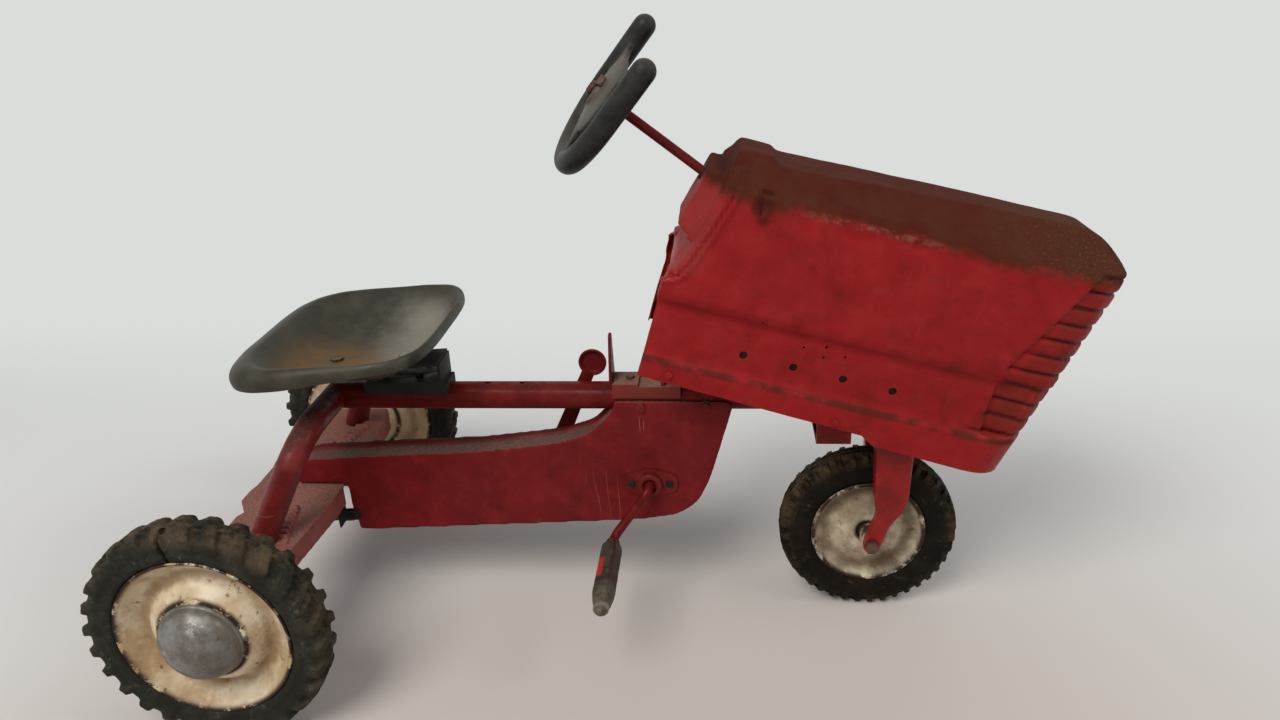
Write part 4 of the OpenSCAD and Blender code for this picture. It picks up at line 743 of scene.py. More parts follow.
def pedal_finish(name, node):
    """A pedal block: dark paint, maroon with painted shade on its front face, scraped to red in one place
    and bare at its tip.
    """
    f = Finish(name)
    own = f.parts(f.local(middle(node)))
    ragged = f.ragged(60, 6, 0.68)
    f.colour = f.mix(f.ramp(ragged, 0.35, 0.7), *PEDAL_TONES)
    # Maroon front face: red paint in painted shade
    f.coat(PEDAL_SHADED_MAROON, f.ramp(own["X"], 0.002, 0.006, 0.0, 0.9))
    out = f.times(own["Y"], -1.0 if "right" in node else 1.0)
    level = f.wavy(out, ragged, 0.02)
    patch = f.times(f.ramp(level, -0.022, -0.016), f.falls(level, 0.008, 0.014))
    patch = f.times(patch, f.falls(own["X"], -0.006, -0.003))
    f.coat(PEDAL_SCRAPED, patch)
    f.coat(f.mix(f.ramp(ragged, 0.4, 0.6), *PEDAL_TIP), f.ramp(level, 0.020, 0.030))
    return f.finish(f.uneven(ragged, 0.4, 0.6), ragged)


FINISHES = {}


def keep(slot, **made):
    """Notes materials by the short names used below, each with the paint slot that it fills."""
    FINISHES.update({name: (material, slot) for name, material in made.items()})


REAR_RING, REAR_EDGES = 0.063, (0.0425, 0.0862)
REAR_TREAD, FRONT_TREAD = 0.119, 0.097
# The front disc's inner edge lies at its hub: the dark chips there are rust and painted shade of the hub's
# hole
FRONT_RING, FRONT_EDGES = 0.048, (0.0115, 0.0605)
FRONT_WALL = ((0.0038, 0.0026, 0.0012), (0.013, 0.0088, 0.0043))
CASE_SOIL = ((0.105, 0.066, 0.048), (0.18, 0.125, 0.095))
CASE_MARKS = [(on_object(362, -20, 145), 0.045, 0.45), (on_object(398, -20, 234), 0.012, 0.9)]
ARCH_SOIL = ((0.030, 0.013, 0.009), (0.085, 0.042, 0.030))
HOUSING_SOIL = ((0.17, 0.092, 0.068), (0.29, 0.19, 0.145))
BRACKET_SOIL = ((0.20, 0.105, 0.070), (0.27, 0.16, 0.11))

keep("red_paint", hood=hood_paint(), red=red_paint("crimson_enamel", dirt_from=1.0))
for short, (*given, named) in {
    "fork": ((0.31, 0.011, 0.011), 1.3, 0.05, 0.35, {"shine": (0.2, 0.36), "gloss": 0.25}),
    "case": ((0.165, 0.0100, 0.0120), 0.80, 0.04, 0.2, 0.85, 0.4, CASE_SOIL, {"marks": CASE_MARKS}),
    "beam": ((0.120, 0.0066, 0.0058), 1.1, 0.08, 0.35, 0.3, {}),
    "arch": ((0.165, 0.014, 0.013), 0.66, 0.10, 0.45, 0.75, {"soil": ARCH_SOIL, "gloss": 0.22}),
    "grimy": ((0.27, 0.085, 0.070), 0.80, 0.10, 0.3, 0.6, {"soil": HOUSING_SOIL}),
    "dusty": ((0.17, 0.030, 0.022), 0.62, 0.05, 0.3, 0.95, 0.3, {"soil": BRACKET_SOIL}),
    "flange": ((0.17, 0.016, 0.014), 1.3, 0.1, 0.45, {}),
    "rod": ((0.11, 0.006, 0.007), 1.3, 0.1, 0.3, {}),
}.items():
    keep("red_paint", **{short: red_paint(short + "_crimson_enamel", *given, **named)})
for side in ("left", "right"):
    disc, tyre = "rear_rim_" + side, "rear_tyre_" + side
    cream = cream_paint("cream_rear_" + side, disc, REAR_CREAM, REAR_RING, 0.010, REAR_EDGES)
    keep("cream_paint", **{"rear_cream_" + side: cream})
    rubber = tyre_rubber("rubber_rear_" + side, tyre, REAR_TREAD, 0.7)
    keep("tyre_rubber", **{"rear_rubber_" + side: rubber})
    keep("pedal_rubber", **{side + "_pedal": pedal_finish(side + "_pedal_black", "pedal_" + side)})
keep("cream_paint",
     front_cream=cream_paint("cream_front", "front_rim", FRONT_CREAM, FRONT_RING, 0.012, FRONT_EDGES))
keep("tyre_rubber", front_rubber=tyre_rubber("rubber_front", "front_tyre", FRONT_TREAD, 0.85, FRONT_WALL))
keep("tarnished_plate", plate=tarnished_plate())
keep("worn_steel", steel=metal("worn_bare_steel", BARE_STEEL, 0.35, 0.6))
keep("rusty_steel", rusty=metal("rusted_steel", OLD_STEEL, 0.7, 0.3))
keep("black_plastic",
     wheel=moulded_black("steering_wheel_black", WHEEL_BLACK, WHEEL_DUST, web="wheel_strap"))
keep("black_paint", seat=seat_black(),
     sooty=moulded_black("sooty_black", SOOT, SOOT_DUST, (0.5, 0.75), dust=0.12))


# ---- hood ----

NOSE_FRONT, CHIN_FRONT = 421, 387
NOSE_SLANT = math.atan2(NOSE_FRONT - CHIN_FRONT, 179)
HOOD_SIDE = [
    (-4, -43, 0), (383, -62, 5), (388, -52, 3), (CHIN_FRONT, 11, 0), (416, 178, 30),
    (413, 207, 28), (390, 229.5, 36), (300, 228.5, 0), (200, 225, 0), (80, 220, 4), (73, 226, 4),
    (40, 226.5, 4), (36, 214, 0), (26, 162, 0), (12, 122, 6), (6, 112, 6), (-2, 96, 8),
]
HOOD_FRONT = [
    (80, -80, 0), (80, 17, 2), (75, 19, 3), (75, 76, 4), (80, 87, 4), (80, 198, 14), (18, 235, 0),
    (-18, 235, 0), (-80, 198, 14), (-80, 87, 4), (-75, 76, 4), (-75, 19, 3), (-80, 17, 2), (-80, -80, 0),
]
HOOD_PLAN = [(-1000, -80, 0), (0, -80, 45), (0, 80, 45), (-1000, 80, 0)]
DASH_PLAN = [(0, -62, 0), (26, -62, 0), (26, 62, 0), (0, 62, 0), (-18, 36, 8), (-18, -36, 8)]
HOOD_BOTTOM = [(-3, -10), (-10, 227), (-18, 240), (-22, 383), (-15, 400)]
GRILLE_EDGE = [(337, 20), (335, 55), (336, 97.6), (348, 121), (360, 145), (373.5, 176), (386, 202)]
DASH_EDGE = [(-4, 108), (6, 112), (13, 125), (26, 160.7), (36.5, 195.6), (38, 221)]
TRIM_HOLES = [(92 + i * 50, 42) for i in range(4)]
PIN_HOLES = [(146, 64.6), (167, 69.8), (167, 59.3), (187, 64.7), (100.8, 80)]
TRIM_HOLE, PIN_HOLE = 4, 1.3
GRAIN = 2.75
SHEET = 1.4
# Planes that the openings of the hood's back and underside follow: a spot and a direction across
HOOD_CUTS = [
    ((0, -72, 0), (0, 1, 0)), ((0, 72, 0), (0, 1, 0)), ((0, 0, 104), (0, 0, 1)), ((8, 0, 0), (1, 0, 0)),
]
DASH_LEAN = math.radians(15.5)


def hood_relief(point, normal):
    """The grille's grooves, ridges along the dash, a notch, the ledge and the bruised shoulder."""
    x, y, z = point
    rise = wavy(point, (0.5, 0.018), (0.25, 0.06))
    grille = fade(x - along(GRILLE_EDGE, z), -0.5, 2.5) * fade(z, 19, 23) * fade(z, 203, 197)
    ribs = (z - 24) / RIB_PITCH
    groove = bell(abs(ribs - round(ribs)) * RIB_PITCH, 2.0)
    rise -= grille * (4.2 - 3.8 * fade(normal.x, 0.15, 0.6) + 3.2 * groove)
    if abs(y) > 55 and x < 70:
        off = away_from(DASH_EDGE, x, z)
        rise += 2.8 * bell(off - 4, 1.9) + 2.4 * bell(off - 11, 2.1)
    if abs(y) > 60:
        notch = (z - 170) / 30 * 8 - abs(x - 70 - (z - 185) * 0.1)
        rise -= 4.5 * fade(notch, -1, 5) if z < 203 else 0
        rise += 1.6 * (fade(z, 74, 82) - fade(z, 82, 120)) - 1.2 * bell(z - 71, 4)
    if y < -60:
        bruised = fade(x, 105, 120) * fade(x, 260, 215) * bell(z - 190 + (x - 110) * 0.05, 9)
        rise += bruised * 2.6 * (noise.noise(Vector((x * 0.05, 0, z * 0.07))) - 0.35)
        rise -= 3.5 * math.exp(-((x - 219) ** 2 + (z - 186) ** 2) / 40)
    return rise


def hood_bottom(x):
    return along(HOOD_BOTTOM, x)


def make_hood():
    side = slab(HOOD_SIDE, SIDE_VIEW, -200, 200)
    front = slab(HOOD_FRONT, FRONT_VIEW, -600, 600)
    slanted = Matrix.Translation((CHIN_FRONT, 0, 11)) @ Matrix.Rotation(NOSE_SLANT, 4, "Y")
    plan = slab(HOOD_PLAN, slanted, -200, 300)
    leaning = Matrix.Translation((13, 0, 125)) @ Matrix.Rotation(DASH_LEAN, 4, "Y")
    dash = slab(DASH_PLAN, leaning, 12, 78)
    hood = joined(side, "INTERSECT", front, plan)
    hood = softened(joined(hood, "UNION", dash), GRAIN, 4)
    pressed(hood, hood_relief)
    for spot, across in HOOD_CUTS:
        cut(hood, spot, across)
    opened(hood, lambda c, n: c.z < hood_bottom(c.x) or (c.x < 8 and abs(c.y) < 72 and c.z < 104))
    for v in hood.verts:
        if v.is_boundary and v.co.z < hood_bottom(v.co.x) + 4:
            v.co.z = hood_bottom(v.co.x)
    rear_edge = [v for v in hood.verts
                 if v.is_boundary and v.co.x < 14 and v.co.z > hood_bottom(v.co.x) + 3]
    for _ in range(14):
        beside = [[e.other_vert(v).co for e in v.link_edges if e.is_boundary] for v in rear_edge]
        middles = [sum(neighbours, Vector()) / 2 for neighbours in beside]
        for v, spot in zip(rear_edge, middles):
            v.co = v.co.lerp(spot, 0.5)
    for side in (-1, 1):
        for x, z in TRIM_HOLES:
            punched(hood, x, z, TRIM_HOLE, side)
        for x, z in PIN_HOLES:
            punched(hood, x, z, PIN_HOLE, side)
    piece("hood_shell", walled(hood, SHEET), "hood", ["hood"], IN_HOOD, 40)


# Profile of the black caps that put painted shade behind the trim holes
SHADE_CAP_PROFILE = [(0.2, 0.9), (6, 0.9), (6.6, 1.6), (6.6, 2.6), (5.4, 3), (5.2, 8.6), (4, 10), (0.2, 10.2)]


def make_hole_shade_caps():
    """Black spring caps behind the holes, which once held a strip of trim, and which darken the holes with
    painted shade.
    """
    shading_caps = bmesh.new()
    for side in (-1, 1):
        for x, z in TRIM_HOLES:
            cap = turned(SHADE_CAP_PROFILE, 32)
            cap.transform(Matrix.Translation((x, side * 72.6, z)) @ Matrix.Diagonal((1, -side, 1, 1)))
            added(shading_caps, cap)
    outwards(shading_caps)
    piece("hole_shade_caps", shading_caps, "sooty", [], IN_HOOD, 40, "hood")


make_hood()
make_hole_shade_caps()


# ---- chain case ----

CASE_SIDE = [
    (66, 92, 6), (397, 110.7, 150), (442, 118.7, 40), (465, 136.7, 40), (478, 165.7, 60), (489, 203.7, 0),
    (503, 255.5, 4), (496, 262.5, 4), (368, 263.4, 3), (372, 258.7, 3), (366, 245.5, 8), (346, 225, 30),
    (313, 213.5, 60), (222, 201.5, 0), (134, 197.1, 0), (16, 189.5, 6), (2, 174.5, 12), (2, 154.6, 0),
    (60.2, 154.6, 0), (60.2, 125, 3), (63, 120, 3),
]
CASE_LIP = 3.2


def make_case_half(name, side, seam, outer):
    """One half of the case: a pan that is open at the seam, with a lip along it."""
    low, high = sorted((outer, seam - 8 * side))
    case = softened(slab(CASE_SIDE, SIDE_VIEW, -high, -low), 2.0, 20)
    pressed(case, lambda p, n: -CASE_LIP * fade(abs(p.y - seam), 2.2, 4.4) * fade(abs(n.y), 0.9, 0.5))
    cut(case, (0, seam, 0), (0, -side, 0), cleared=True)
    pressed(case, lambda p, n: wavy(p, (0.35, 0.02), (0.15, 0.07)))
    opened(case, lambda c, n: (c.x < 62 and abs(c.y) < 10 and c.z < 160) or (c.z > 250 and abs(c.y) < 15.5)
           or (c.x < 66 and c.z < 152 and abs(c.y) < 17 and n.x < -0.5))
    piece(f"case_{name}_half", walled(case, SHEET), "case", ["chain_case_" + name])


make_case_half("right", -1, 10, -20)
make_case_half("left", 1, 10.1, 20)


# ---- wheels ----

AXLE_HIGH = 120.65
WHEEL_OUT = 229
REAR_DISC = [
    (13, 17), (38, 17), (42, 16.6), (45, 15), (50, 10.5), (55, 6.5), (57.5, 3.5), (59, 0.6), (61, -1),
    (63.5, -1.6), (66, -1.3), (69, 0), (74, 3.6), (80, 10.2), (82.5, 14.5), (84.5, 17), (86.2, 17.6),
    (87, 16.6), (86.6, 15.2), (84.4, 13), (84, -13), (86.4, -15.2), (86.6, -17), (84, -17.2), (82, -16),
    (41, -16), (35, -20), (13, -20), (13, -18), (34, -18), (40, -14), (81, -14), (82.4, -12), (82.4, 10),
    (79, 8), (74, 2), (68, -2.6), (63.5, -3.3), (60, -2.6), (57, 0), (50, 8.5), (44, 14), (40, 15.4),
    (13, 15.4),
]
REAR_CARCASS = two_sided([
    (84.2, -13), (87, -15), (88, -17.4), (92, -19), (96.4, -19.6), (97.4, -18.4), (98.6, -19.4),
    (104, -20), (109, -18.4), (112.5, -14.5), (114.2, -8),
], (114.8, 0))
# Middle line of a lug from the tread's centre to the side wall: radius, width, lean and height
LUG_LINE = [
    (114.0, -2.5, 0.0, 5.6), (114.0, 5, 0.3, 5.8), (113.2, 12, 0.68, 6.2), (111.0, 16.8, 0.9, 5.6),
    (108, 19.0, 1.0, 2.6), (104, 19.8, 1.06, 1.6), (100.5, 19.6, 1.1, 0.6),
]
LUG_LEAN = math.radians(5.2)
LUG_HALF_FOOT, LUG_HALF_TOP = 7.2, 4.9
LUGS = 28
JOINT_TURN = math.radians(-8)


def wheel_place(out, up=AXLE_HIGH, forward=0.0):
    return FROM_AXLE @ Matrix.Translation((forward, out, up))


def make_lug():
    """One lug of a rear tyre: a bar that turns down over the shoulder."""
    bm = bmesh.new()
    tip = None
    for radius, width, lean, height in LUG_LINE:
        out = Vector((0, width, 0)) + Vector((0, 0, radius - 100))
        out.normalize()
        spots = []
        for half, raised in ((LUG_HALF_FOOT, 0), (LUG_HALF_TOP, height)):
            for side in (-1, 1):
                local = Vector((side * half, width, radius)) + out * raised
                spots.append(Matrix.Rotation(lean * LUG_LEAN, 3, "Y") @ local)
        ring = [spots[0], spots[1], spots[3], spots[2]]
        if tip is None:
            tip = bm.faces.new([bm.verts.new(p) for p in ring])
            continue
        grown = bmesh.ops.extrude_face_region(bm, geom=[tip])
        tip = next(g for g in grown["geom"] if isinstance(g, bmesh.types.BMFace))
        for v, p in zip(tip.verts, ring):
            v.co = p
    outwards(bm)
    return bm


def ringed(bm, count, start=0.0):
    """Repeats a shape around the Y axis."""
    bm.transform(Matrix.Rotation(start, 4, "Y"))
    bmesh.ops.spin(bm, geom=whole(bm), cent=(0, 0, 0), axis=(0, 1, 0),
                   angle=FULL_TURN * (count - 1) / count, steps=count - 1, use_duplicate=True)
    return bm


def flipped(bm):
    bm.transform(Matrix.Diagonal((1, -1, 1, 1)))
    bmesh.ops.reverse_faces(bm, faces=bm.faces[:])
    return bm


def make_rear_tyre():
    """Carcass, two staggered rows of lugs, and the joint where the rubber strip meets itself."""
    tyre = turned(REAR_CARCASS, 144)
    added(tyre, ringed(make_lug(), LUGS))
    added(tyre, flipped(ringed(make_lug(), LUGS, FULL_TURN / LUGS / 2)))
    tyre = softened(tyre, 1.35, 2)

    def worn(point, normal):
        slit = bell((math.atan2(point.x, point.z) - JOINT_TURN) * 115, 1.5)
        return wavy(point, (0.7, 0.09), (0.4, 0.25)) - 0.4 - 5.0 * slit

    pressed(tyre, worn)
    return tyre


def make_rear_wheel(name, side):
    place = wheel_place(side * WHEEL_OUT)
    for shape, kind, finish, node in (
        (turned(REAR_DISC, 128), "wheel_disc_", "rear_cream_" + name, "rear_rim_"),
        (make_rear_tyre(), "lugged_tyre_", "rear_rubber_" + name, "rear_tyre_"),
        (make_cap(), "domed_cap_", "plate", "hub_cap_"),
    ):
        piece(kind + name, shape if side > 0 else flipped(shape), finish, [node + name], place)


def make_cap():
    """A pressed dome with a rolled foot, a little dented."""
    turns = [math.radians(i * 7.5) for i in range(1, 12)]
    outer, inner = ([(wide * math.cos(a), 20.4 + high * math.sin(a)) for a in turns]
                    for wide, high in ((39.4, 22.4), (38.2, 21.2)))
    cap = turned([(41, 17.1), (41.4, 18), (41, 19.4), (39.6, 20.4), *outer, (0.4, 42.9), (0.4, 41.9),
                  *inner[::-1], (38.8, 19), (39.8, 17.1)], 96)
    pressed(cap, lambda p, n: 0.9 * noise.noise(p * 0.035 + Vector((3, 0, 0))) if p.y > 21 else 0)
    return cap


make_rear_wheel("left", 1)
make_rear_wheel("right", -1)


# ---- front wheel and fork ----

FRONT_MIDDLE, FRONT_HIGH = 651, 98
FRONT_DISC = [
    (11.4, 8.5), (11.8, 12.4), (14, 13.6), (20, 13.6), (25, 12.8), (30, 11), (35, 8.8), (40, 7.2),
    (45, 6.6), (49.5, 6.8), (53, 8.4), (55.6, 11.6), (57.4, 15), (59.4, 17), (61.6, 17.2), (62.6, 16),
    (61.6, 14.6), (60, 13), (60, 0), (58.4, 0), (58.4, 13), (56.6, 10.6), (54.2, 7), (50, 5.2), (45, 5),
    (40, 5.6), (35, 7.2), (30, 9.4), (25, 11.2), (20, 12), (14.6, 12), (13.2, 11.6), (13, 8.5),
]
FRONT_CARCASS = two_sided([
    (60.2, -13), (63, -15.2), (66, -17), (72, -18.3), (80, -18.4), (87, -17), (91, -13), (92.6, -7),
], (93, 0))
FRONT_BLOCKS = 40
BLOCK = [(88, 10.4, 0), (96.8, 10.4, 0.5), (95.8, 15.4, 1), (89, 18.4, 1), (83, 18.4, 0)]
FRONT_HUB = two_sided([(5, -27.4), (10, -27.4), (10, -10), (13, -9.8)])


def make_front_tyre():
    """Three ribs round the tread and a row of blocks on each shoulder."""
    tyre = turned(FRONT_CARCASS, 128)
    for width in (-7, 0, 7):
        rib = [(90, width - 2.4), (97.6, width - 2.0), (97.6, width + 2.0), (90, width + 2.4)]
        added(tyre, turned(rib, 128))
    upright = Matrix(((0, 0, 1, 0), (0, 1, 0, 0), (1, 0, 0, 0), (0, 0, 0, 1)))
    for side in (1, -1):
        block = slab(BLOCK, upright, -3.4, 3.4)
        blocks = ringed(block, FRONT_BLOCKS, 0 if side > 0 else FULL_TURN / FRONT_BLOCKS / 2)
        outwards(blocks)
        added(tyre, blocks if side > 0 else flipped(blocks))
    tyre = softened(tyre, 1.15, 2)
    pressed(tyre, lambda p, n: wavy(p, (0.5, 0.12), (0.3, 0.33)) - 0.25)
    return tyre


def make_front_rim():
    rim = turned(FRONT_DISC, 112)
    added(rim, flipped(turned(FRONT_DISC, 112)))
    added(rim, turned(FRONT_HUB, 64))
    return rim


FRONT_PLACE = wheel_place(0, FRONT_HIGH, FRONT_MIDDLE)
piece("blocked_tyre", make_front_tyre(), "front_rubber", ["front_tyre"], FRONT_PLACE)
piece("front_disc", make_front_rim(), "front_cream", ["front_rim"], FRONT_PLACE)
softer("fork_pressing", "fork", "fork", 0.0013, 16)


# ---- seat ----

SEAT_BOW = 2 / 4.2
SEAT_STEPS = 144
# Rings of the pressing from the middle out: share of the crest's plan, depth below it, and how far the
# ring is along the roll of the rim, which is widest and deepest at the back
SEAT_RINGS = [
    (0.10, -42.5, 0), (0.25, -42.2, 0), (0.40, -41, 0), (0.52, -38.5, 0), (0.62, -34.5, 0),
    (0.71, -28.5, 0), (0.79, -21, 0), (0.86, -13.5, 0), (0.92, -7, 0), (0.96, -2.6, 0), (0.985, -0.7, 0),
    (1, 0, 0.03), (1, -0.2, 0.25), (1, -2, 0.5), (1, -5.4, 0.76), (1, -9.6, 0.93), (1, -14, 1),
    (1, -18, 0.98), (1, -21.5, 0.93),
]


def seat_point(ring, turn):
    """A point of the seat's squared oval."""
    share, depth, roll = SEAT_RINGS[ring]
    c, s = math.cos(turn), math.sin(turn)
    ahead = math.copysign(abs(c) ** SEAT_BOW, c)
    across = math.copysign(abs(s) ** SEAT_BOW, s)
    back = fade(-ahead, -0.7, 0.9)
    half_long = 92.5 + 3 * back + roll * (3 + 20 * back)
    half_wide = 117 + 3 * back + roll * (5 + 7 * back)
    if roll:
        depth *= 0.55 + 0.5 * back
    return share * half_long * ahead, share * half_wide * across * (1 + 0.03 * ahead), depth


def make_seat():
    """One pressing: the pan, and the rim rolled over and down around it."""
    bm = bmesh.new()
    bmesh.ops.create_circle(bm, cap_ends=True, radius=1, segments=SEAT_STEPS)
    for ring in range(1, len(SEAT_RINGS)):
        edge = [e for e in bm.edges if e.is_boundary]
        grown = bmesh.ops.extrude_edge_only(bm, edges=edge)["geom"]
        rim = [g for g in grown if isinstance(g, bmesh.types.BMVert)]
        bmesh.ops.scale(bm, vec=((ring + 1) / ring,) * 3, verts=rim)
    for v in bm.verts:
        v.co = seat_point(round(v.co.length) - 1, math.atan2(v.co.y, v.co.x))
    outwards(bm)
    if min(bm.faces, key=lambda f: f.calc_center_median().length).normal.z < 0:
        bmesh.ops.reverse_faces(bm, faces=bm.faces[:])
    pressed(bm, lambda p, n: wavy(p, (0.8, 0.02), (0.3, 0.07)) - 0.3)
    seat = worked(bm, ("SOLIDIFY", {"thickness": 1.8, "offset": -1, "use_even_offset": True}),
                  ("BEVEL", {"width": 0.5, "segments": 2, "limit_method": "ANGLE"}),
                  ("SUBSURF", {"levels": 1, "render_levels": 1}))
    piece("seat_pressing", seat, "seat", ["seat_pan"], IN_SEAT, 60)


make_seat()


# ---- steering wheel and housing ----

RIB_FOOT, RIB_STEP = 75.5, 9


def housing_relief(point, normal):
    """Stands the ribs on both pads out further, where the solid has them."""
    ahead, out = (point.x - FROM_AXLE.translation.x) / MM, abs(point.y) / MM
    rib = round((out - RIB_FOOT) / RIB_STEP)
    if normal.z < 0.6 or not 0 <= rib <= 6:
        return 0
    within = fade(ahead, 4 + 3.2 * rib, 7 + 3.2 * rib) * fade(ahead, 29 + 2 * rib, 26 + 2 * rib)
    return 2.0 * MM * within * fade(abs(out - RIB_FOOT - RIB_STEP * rib), 3.4, 1.0)


softer("moulded_steering_wheel", "steering_wheel", "wheel", 0.0015, 4)
softer("housing_pressing", "axle_housing", "grimy", 0.0011, 2, housing_relief)


# ---- saddle and crank flanges ----

SKIRT_CUT = 7
BOSS = [(8.2, -1), (13.5, -1), (13.5, 2.2), (12.2, 3.8), (9.6, 4.2), (8.2, 3.4)]


def make_saddle():
    """The bent saddle under the seat, its skirts only part of the way down the tube."""
    saddle = copied("seat_saddle")
    low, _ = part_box("seat_saddle")
    rim = cut(saddle, (0, 0, low.z + SKIRT_CUT * MM), (0, 0, -1), cleared=True)
    bmesh.ops.holes_fill(saddle, edges=[g for g in rim if isinstance(g, bmesh.types.BMEdge)], sides=0)
    outwards(saddle)
    piece("bent_saddle", saddle, "sooty", ["seat_saddle"], IN_METRES)


make_saddle()


def make_flange(node, side):
    """The bearing plate, and the boss that stands out of it round the shaft."""
    flange = copied(node)
    flange.transform(FROM_AXLE.inverted())
    low, high = (FROM_AXLE.inverted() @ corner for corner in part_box(node))
    face = high.y if side > 0 else -low.y
    boss = turned(BOSS, 48)
    boss.transform(Matrix.Translation((0, face, 0)))
    if side < 0:
        boss = flipped(boss)
    boss.transform(Matrix.Translation(((low.x + high.x) / 2, 0, (low.z + high.z) / 2)))
    piece("bossed_" + node, added(flange, boss), "flange", [node])


make_flange("crank_flange_right", -1)
make_flange("crank_flange_left", 1)


# ---- pedals ----

PEDAL_SQUARE = [(-9.6, -9.6, 4.5), (9.6, -9.6, 4.5), (9.6, 9.6, 4.5), (-9.6, 9.6, 4.5)]
# Distance from the pedal's inner end and share of its thickness
PEDAL_LINE = [
    (0, 0.6), (2, 0.8), (6, 0.95), (12, 1), (74, 1), (84, 1.02), (94, 0.95), (104, 0.82), (111, 0.66),
    (116, 0.5), (119, 0.3),
]
PEDAL_ASKEW = math.radians(28)


def make_pedal(node, finish, side):
    """A moulded block that hangs a little askew, with a worn dome over its nut."""
    low, high = (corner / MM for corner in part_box(node))
    inner = low.y if side > 0 else -high.y
    block = softened(drawn_out(PEDAL_SQUARE, PEDAL_LINE), 1.1, 4)
    pressed(block, lambda p, n: wavy(p, (0.35, 0.08), (0.3 * fade(p.z, 78, 84), 0.2)))
    block.transform(Matrix.Rotation(PEDAL_ASKEW, 4, "Z"))
    lying = Matrix(((1, 0, 0, 0), (0, 0, side, side * inner), (0, 1, 0, 0), (0, 0, 0, 1)))
    block.transform(Matrix.Translation(((low.x + high.x) / 2, 0, (low.z + high.z) / 2)) @ lying)
    if side > 0:
        bmesh.ops.reverse_faces(block, faces=block.faces[:])
    piece("block_" + node, block, finish, [node], Matrix.Scale(MM, 4), 50)


make_pedal("pedal_right", "right_pedal", -1)
make_pedal("pedal_left", "left_pedal", 1)


# ---- the other pieces keep the frame's shapes, with broken edges ----

BROKEN_EDGE = 0.5


def dressed(node, finish):
    """A solid of the frame as a piece of its own, its edges broken a little."""
    bm = copied(node)
    edges = [e for e in bm.edges if e.is_manifold and e.calc_face_angle() > math.radians(40)]
    bmesh.ops.bevel(bm, geom=edges, offset=BROKEN_EDGE * MM, offset_type="OFFSET", segments=2, profile=0.5,
                    affect="EDGES", clamp_overlap=True, material=-1)
    piece(node + "_dressed", bm, finish, [node], IN_METRES)


DRESSED = {
    "beam": ["main_beam", "head_tube", "crank", "hood_cross_bracket", "hood_stop"],
    "arch": ["rear_arch"],
    "dusty": ["hood_bracket"],
    "case": ["case_bolts"],
    "red": ["hood_screws"],
    "rod": ["steering_column", "lever"],
    "sooty": ["housing_stay", "seat_riser", "dash_bushing", "saddle_screws", "flange_screws"],
    "seat": ["seat_bolts"],
    "steel": [
        "axle_bush_left", "axle_bush_right", "rear_axle", "axle_spacers", "axle_pin", "crank_pin",
        "drive_pin", "pedal_nuts", "kingpin_nut", "front_axle_nut", "lever_bolt",
    ],
    "rusty": [
        "axle_sprocket", "axle_nut_left", "axle_nut_right", "chain", "crank_sprocket", "case_spacers",
        "fork_washer", "steering_arm", "front_axle", "frame_screws", "column_bracket", "wheel_strap",
    ],
}
for finish, nodes in DRESSED.items():
    for node in nodes:
        dressed(node, finish)


# ---- camera, light and floor ----

IMAGE_WIDE = 1280
FOCAL = 936.9
YAW, PITCH, ROLL = 0.095, 0.405, 0.040
CAMERA_SPOT = (489.2, -917, 696.1)
LAMP_AIM = Vector((0.1, 0, 0.2))


def make_camera():
    """The photograph's own viewpoint, found from the wheels' ellipses."""
    ahead = Vector((-math.sin(YAW) * math.cos(PITCH), math.cos(YAW) * math.cos(PITCH), -math.sin(PITCH)))
    level = Vector((math.cos(YAW), math.sin(YAW), 0))
    down = ahead.cross(level)
    right = level * math.cos(ROLL) + down * math.sin(ROLL)
    below = down * math.cos(ROLL) - level * math.sin(ROLL)
    data = bpy.data.cameras.new("photo_camera")
    data.sensor_width = 36
    data.lens = FOCAL / IMAGE_WIDE * data.sensor_width
    camera = linked("photo_camera", data)
    turn = Matrix((right, -below, -ahead)).transposed()
    camera.matrix_world = Matrix.Translation(on_object(*CAMERA_SPOT)) @ turn.to_4x4()
    bpy.context.scene.camera = camera


def make_lamp(name, place, size, power, colour):
    data = bpy.data.lights.new(name, "AREA")
    data.shape = "DISK"
    data.size, data.energy, data.color = size, power, colour
    lamp = linked(name, data)
    lamp.location = place
    lamp.rotation_euler = (LAMP_AIM - Vector(place)).to_track_quat("-Z", "Y").to_euler()


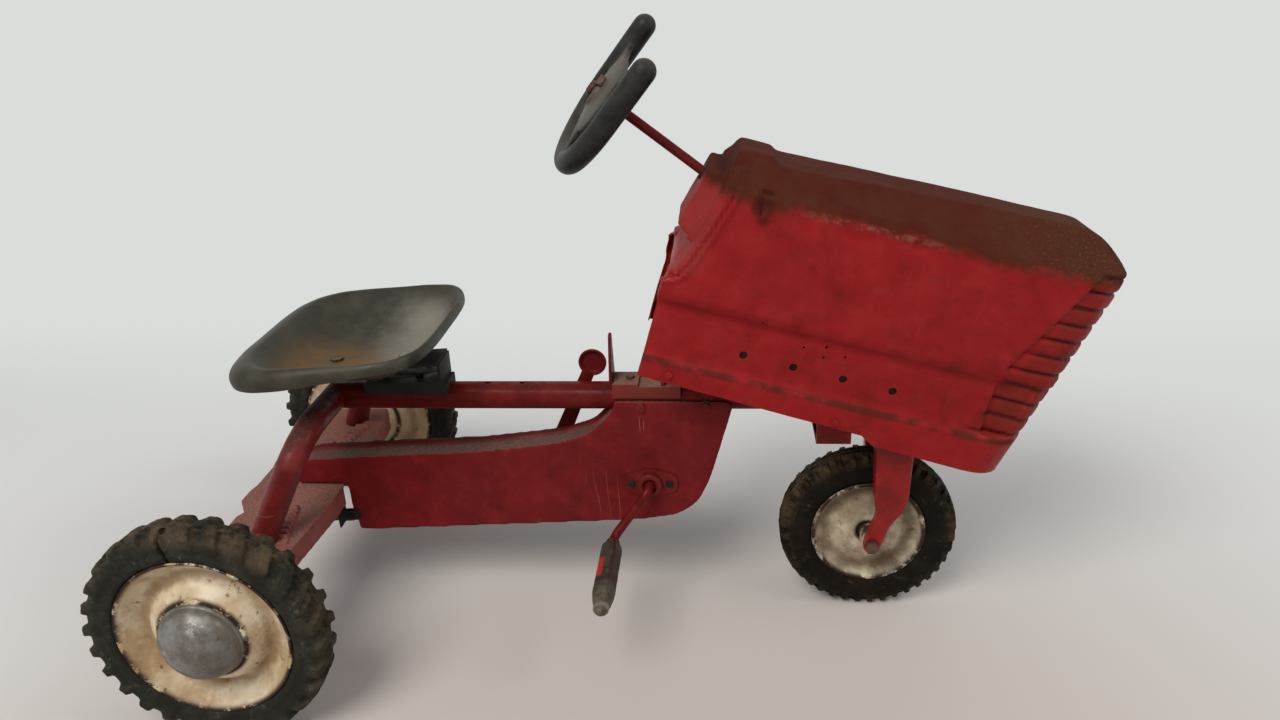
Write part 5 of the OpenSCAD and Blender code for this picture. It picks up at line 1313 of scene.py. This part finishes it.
FLOOR = 30
BACKGROUND = (0.70, 0.72, 0.70)
FLOOR_PALE = (0.76, 0.76, 0.745)
FLOOR_WARM = (0.50, 0.435, 0.39)
SKY = (0.38, 0.39, 0.40)


def seen_as_background(graph):
    """1 for the rays that see what is behind the object: straight, in gloss or through glass."""
    rays = graph.place("ShaderNodeLightPath").outputs
    seen = graph.larger(rays["Is Camera Ray"], rays["Is Glossy Ray"])
    return graph.larger(seen, rays["Is Transmission Ray"])


def make_floor():
    """A wide pale board, warmer before the object and of one even tone behind it and far out."""
    bm = slab([(-FLOOR, -FLOOR, 0), (FLOOR, -FLOOR, 0), (FLOOR, FLOOR, 0), (-FLOOR, FLOOR, 0)],
              IN_METRES, -0.02, 0)
    mesh = as_mesh("floor_board", bm)
    f = Finish("pale_board")
    warm = f.near((0.10, -0.55, 0), 0.1, 1.5)
    f.colour = f.mix(warm, FLOOR_PALE, FLOOR_WARM)
    mesh.materials.append(f.finish(0.7))
    glow = f.place("ShaderNodeEmission", {}, {"Color": BACKGROUND, "Strength": 1.0}).outputs[0]
    outside = f.minus(1.0, f.near((0, 0, 0), 1.1, 2.4))
    far = f.larger(f.ramp(f.parts(f.position)["Y"], 0.15, 0.95), outside)
    far = f.times(far, seen_as_background(f))
    both = f.place("ShaderNodeMixShader", {}, {0: far, 1: f.shader.outputs[0], 2: glow}).outputs[0]
    f.feed(f.tree.nodes["Material Output"].inputs["Surface"], both)
    linked("floor_board", mesh)


def make_world():
    world = bpy.data.worlds.new("studio")
    world.use_nodes = True
    graph = Graph(world.node_tree)
    tone = graph.mix(seen_as_background(graph), SKY, BACKGROUND)
    graph.feed(world.node_tree.nodes["Background"].inputs["Color"], tone)
    bpy.context.scene.world = world
    bpy.context.scene.view_settings.view_transform = "Standard"


make_camera()
make_lamp("window", (-0.8, -1.7, 2.3), 1.5, 56, (1.0, 0.98, 0.95))
make_lamp("door", (2.2, -0.5, 2.0), 1.4, 22, (0.97, 0.98, 1.0))
make_floor()
make_world()
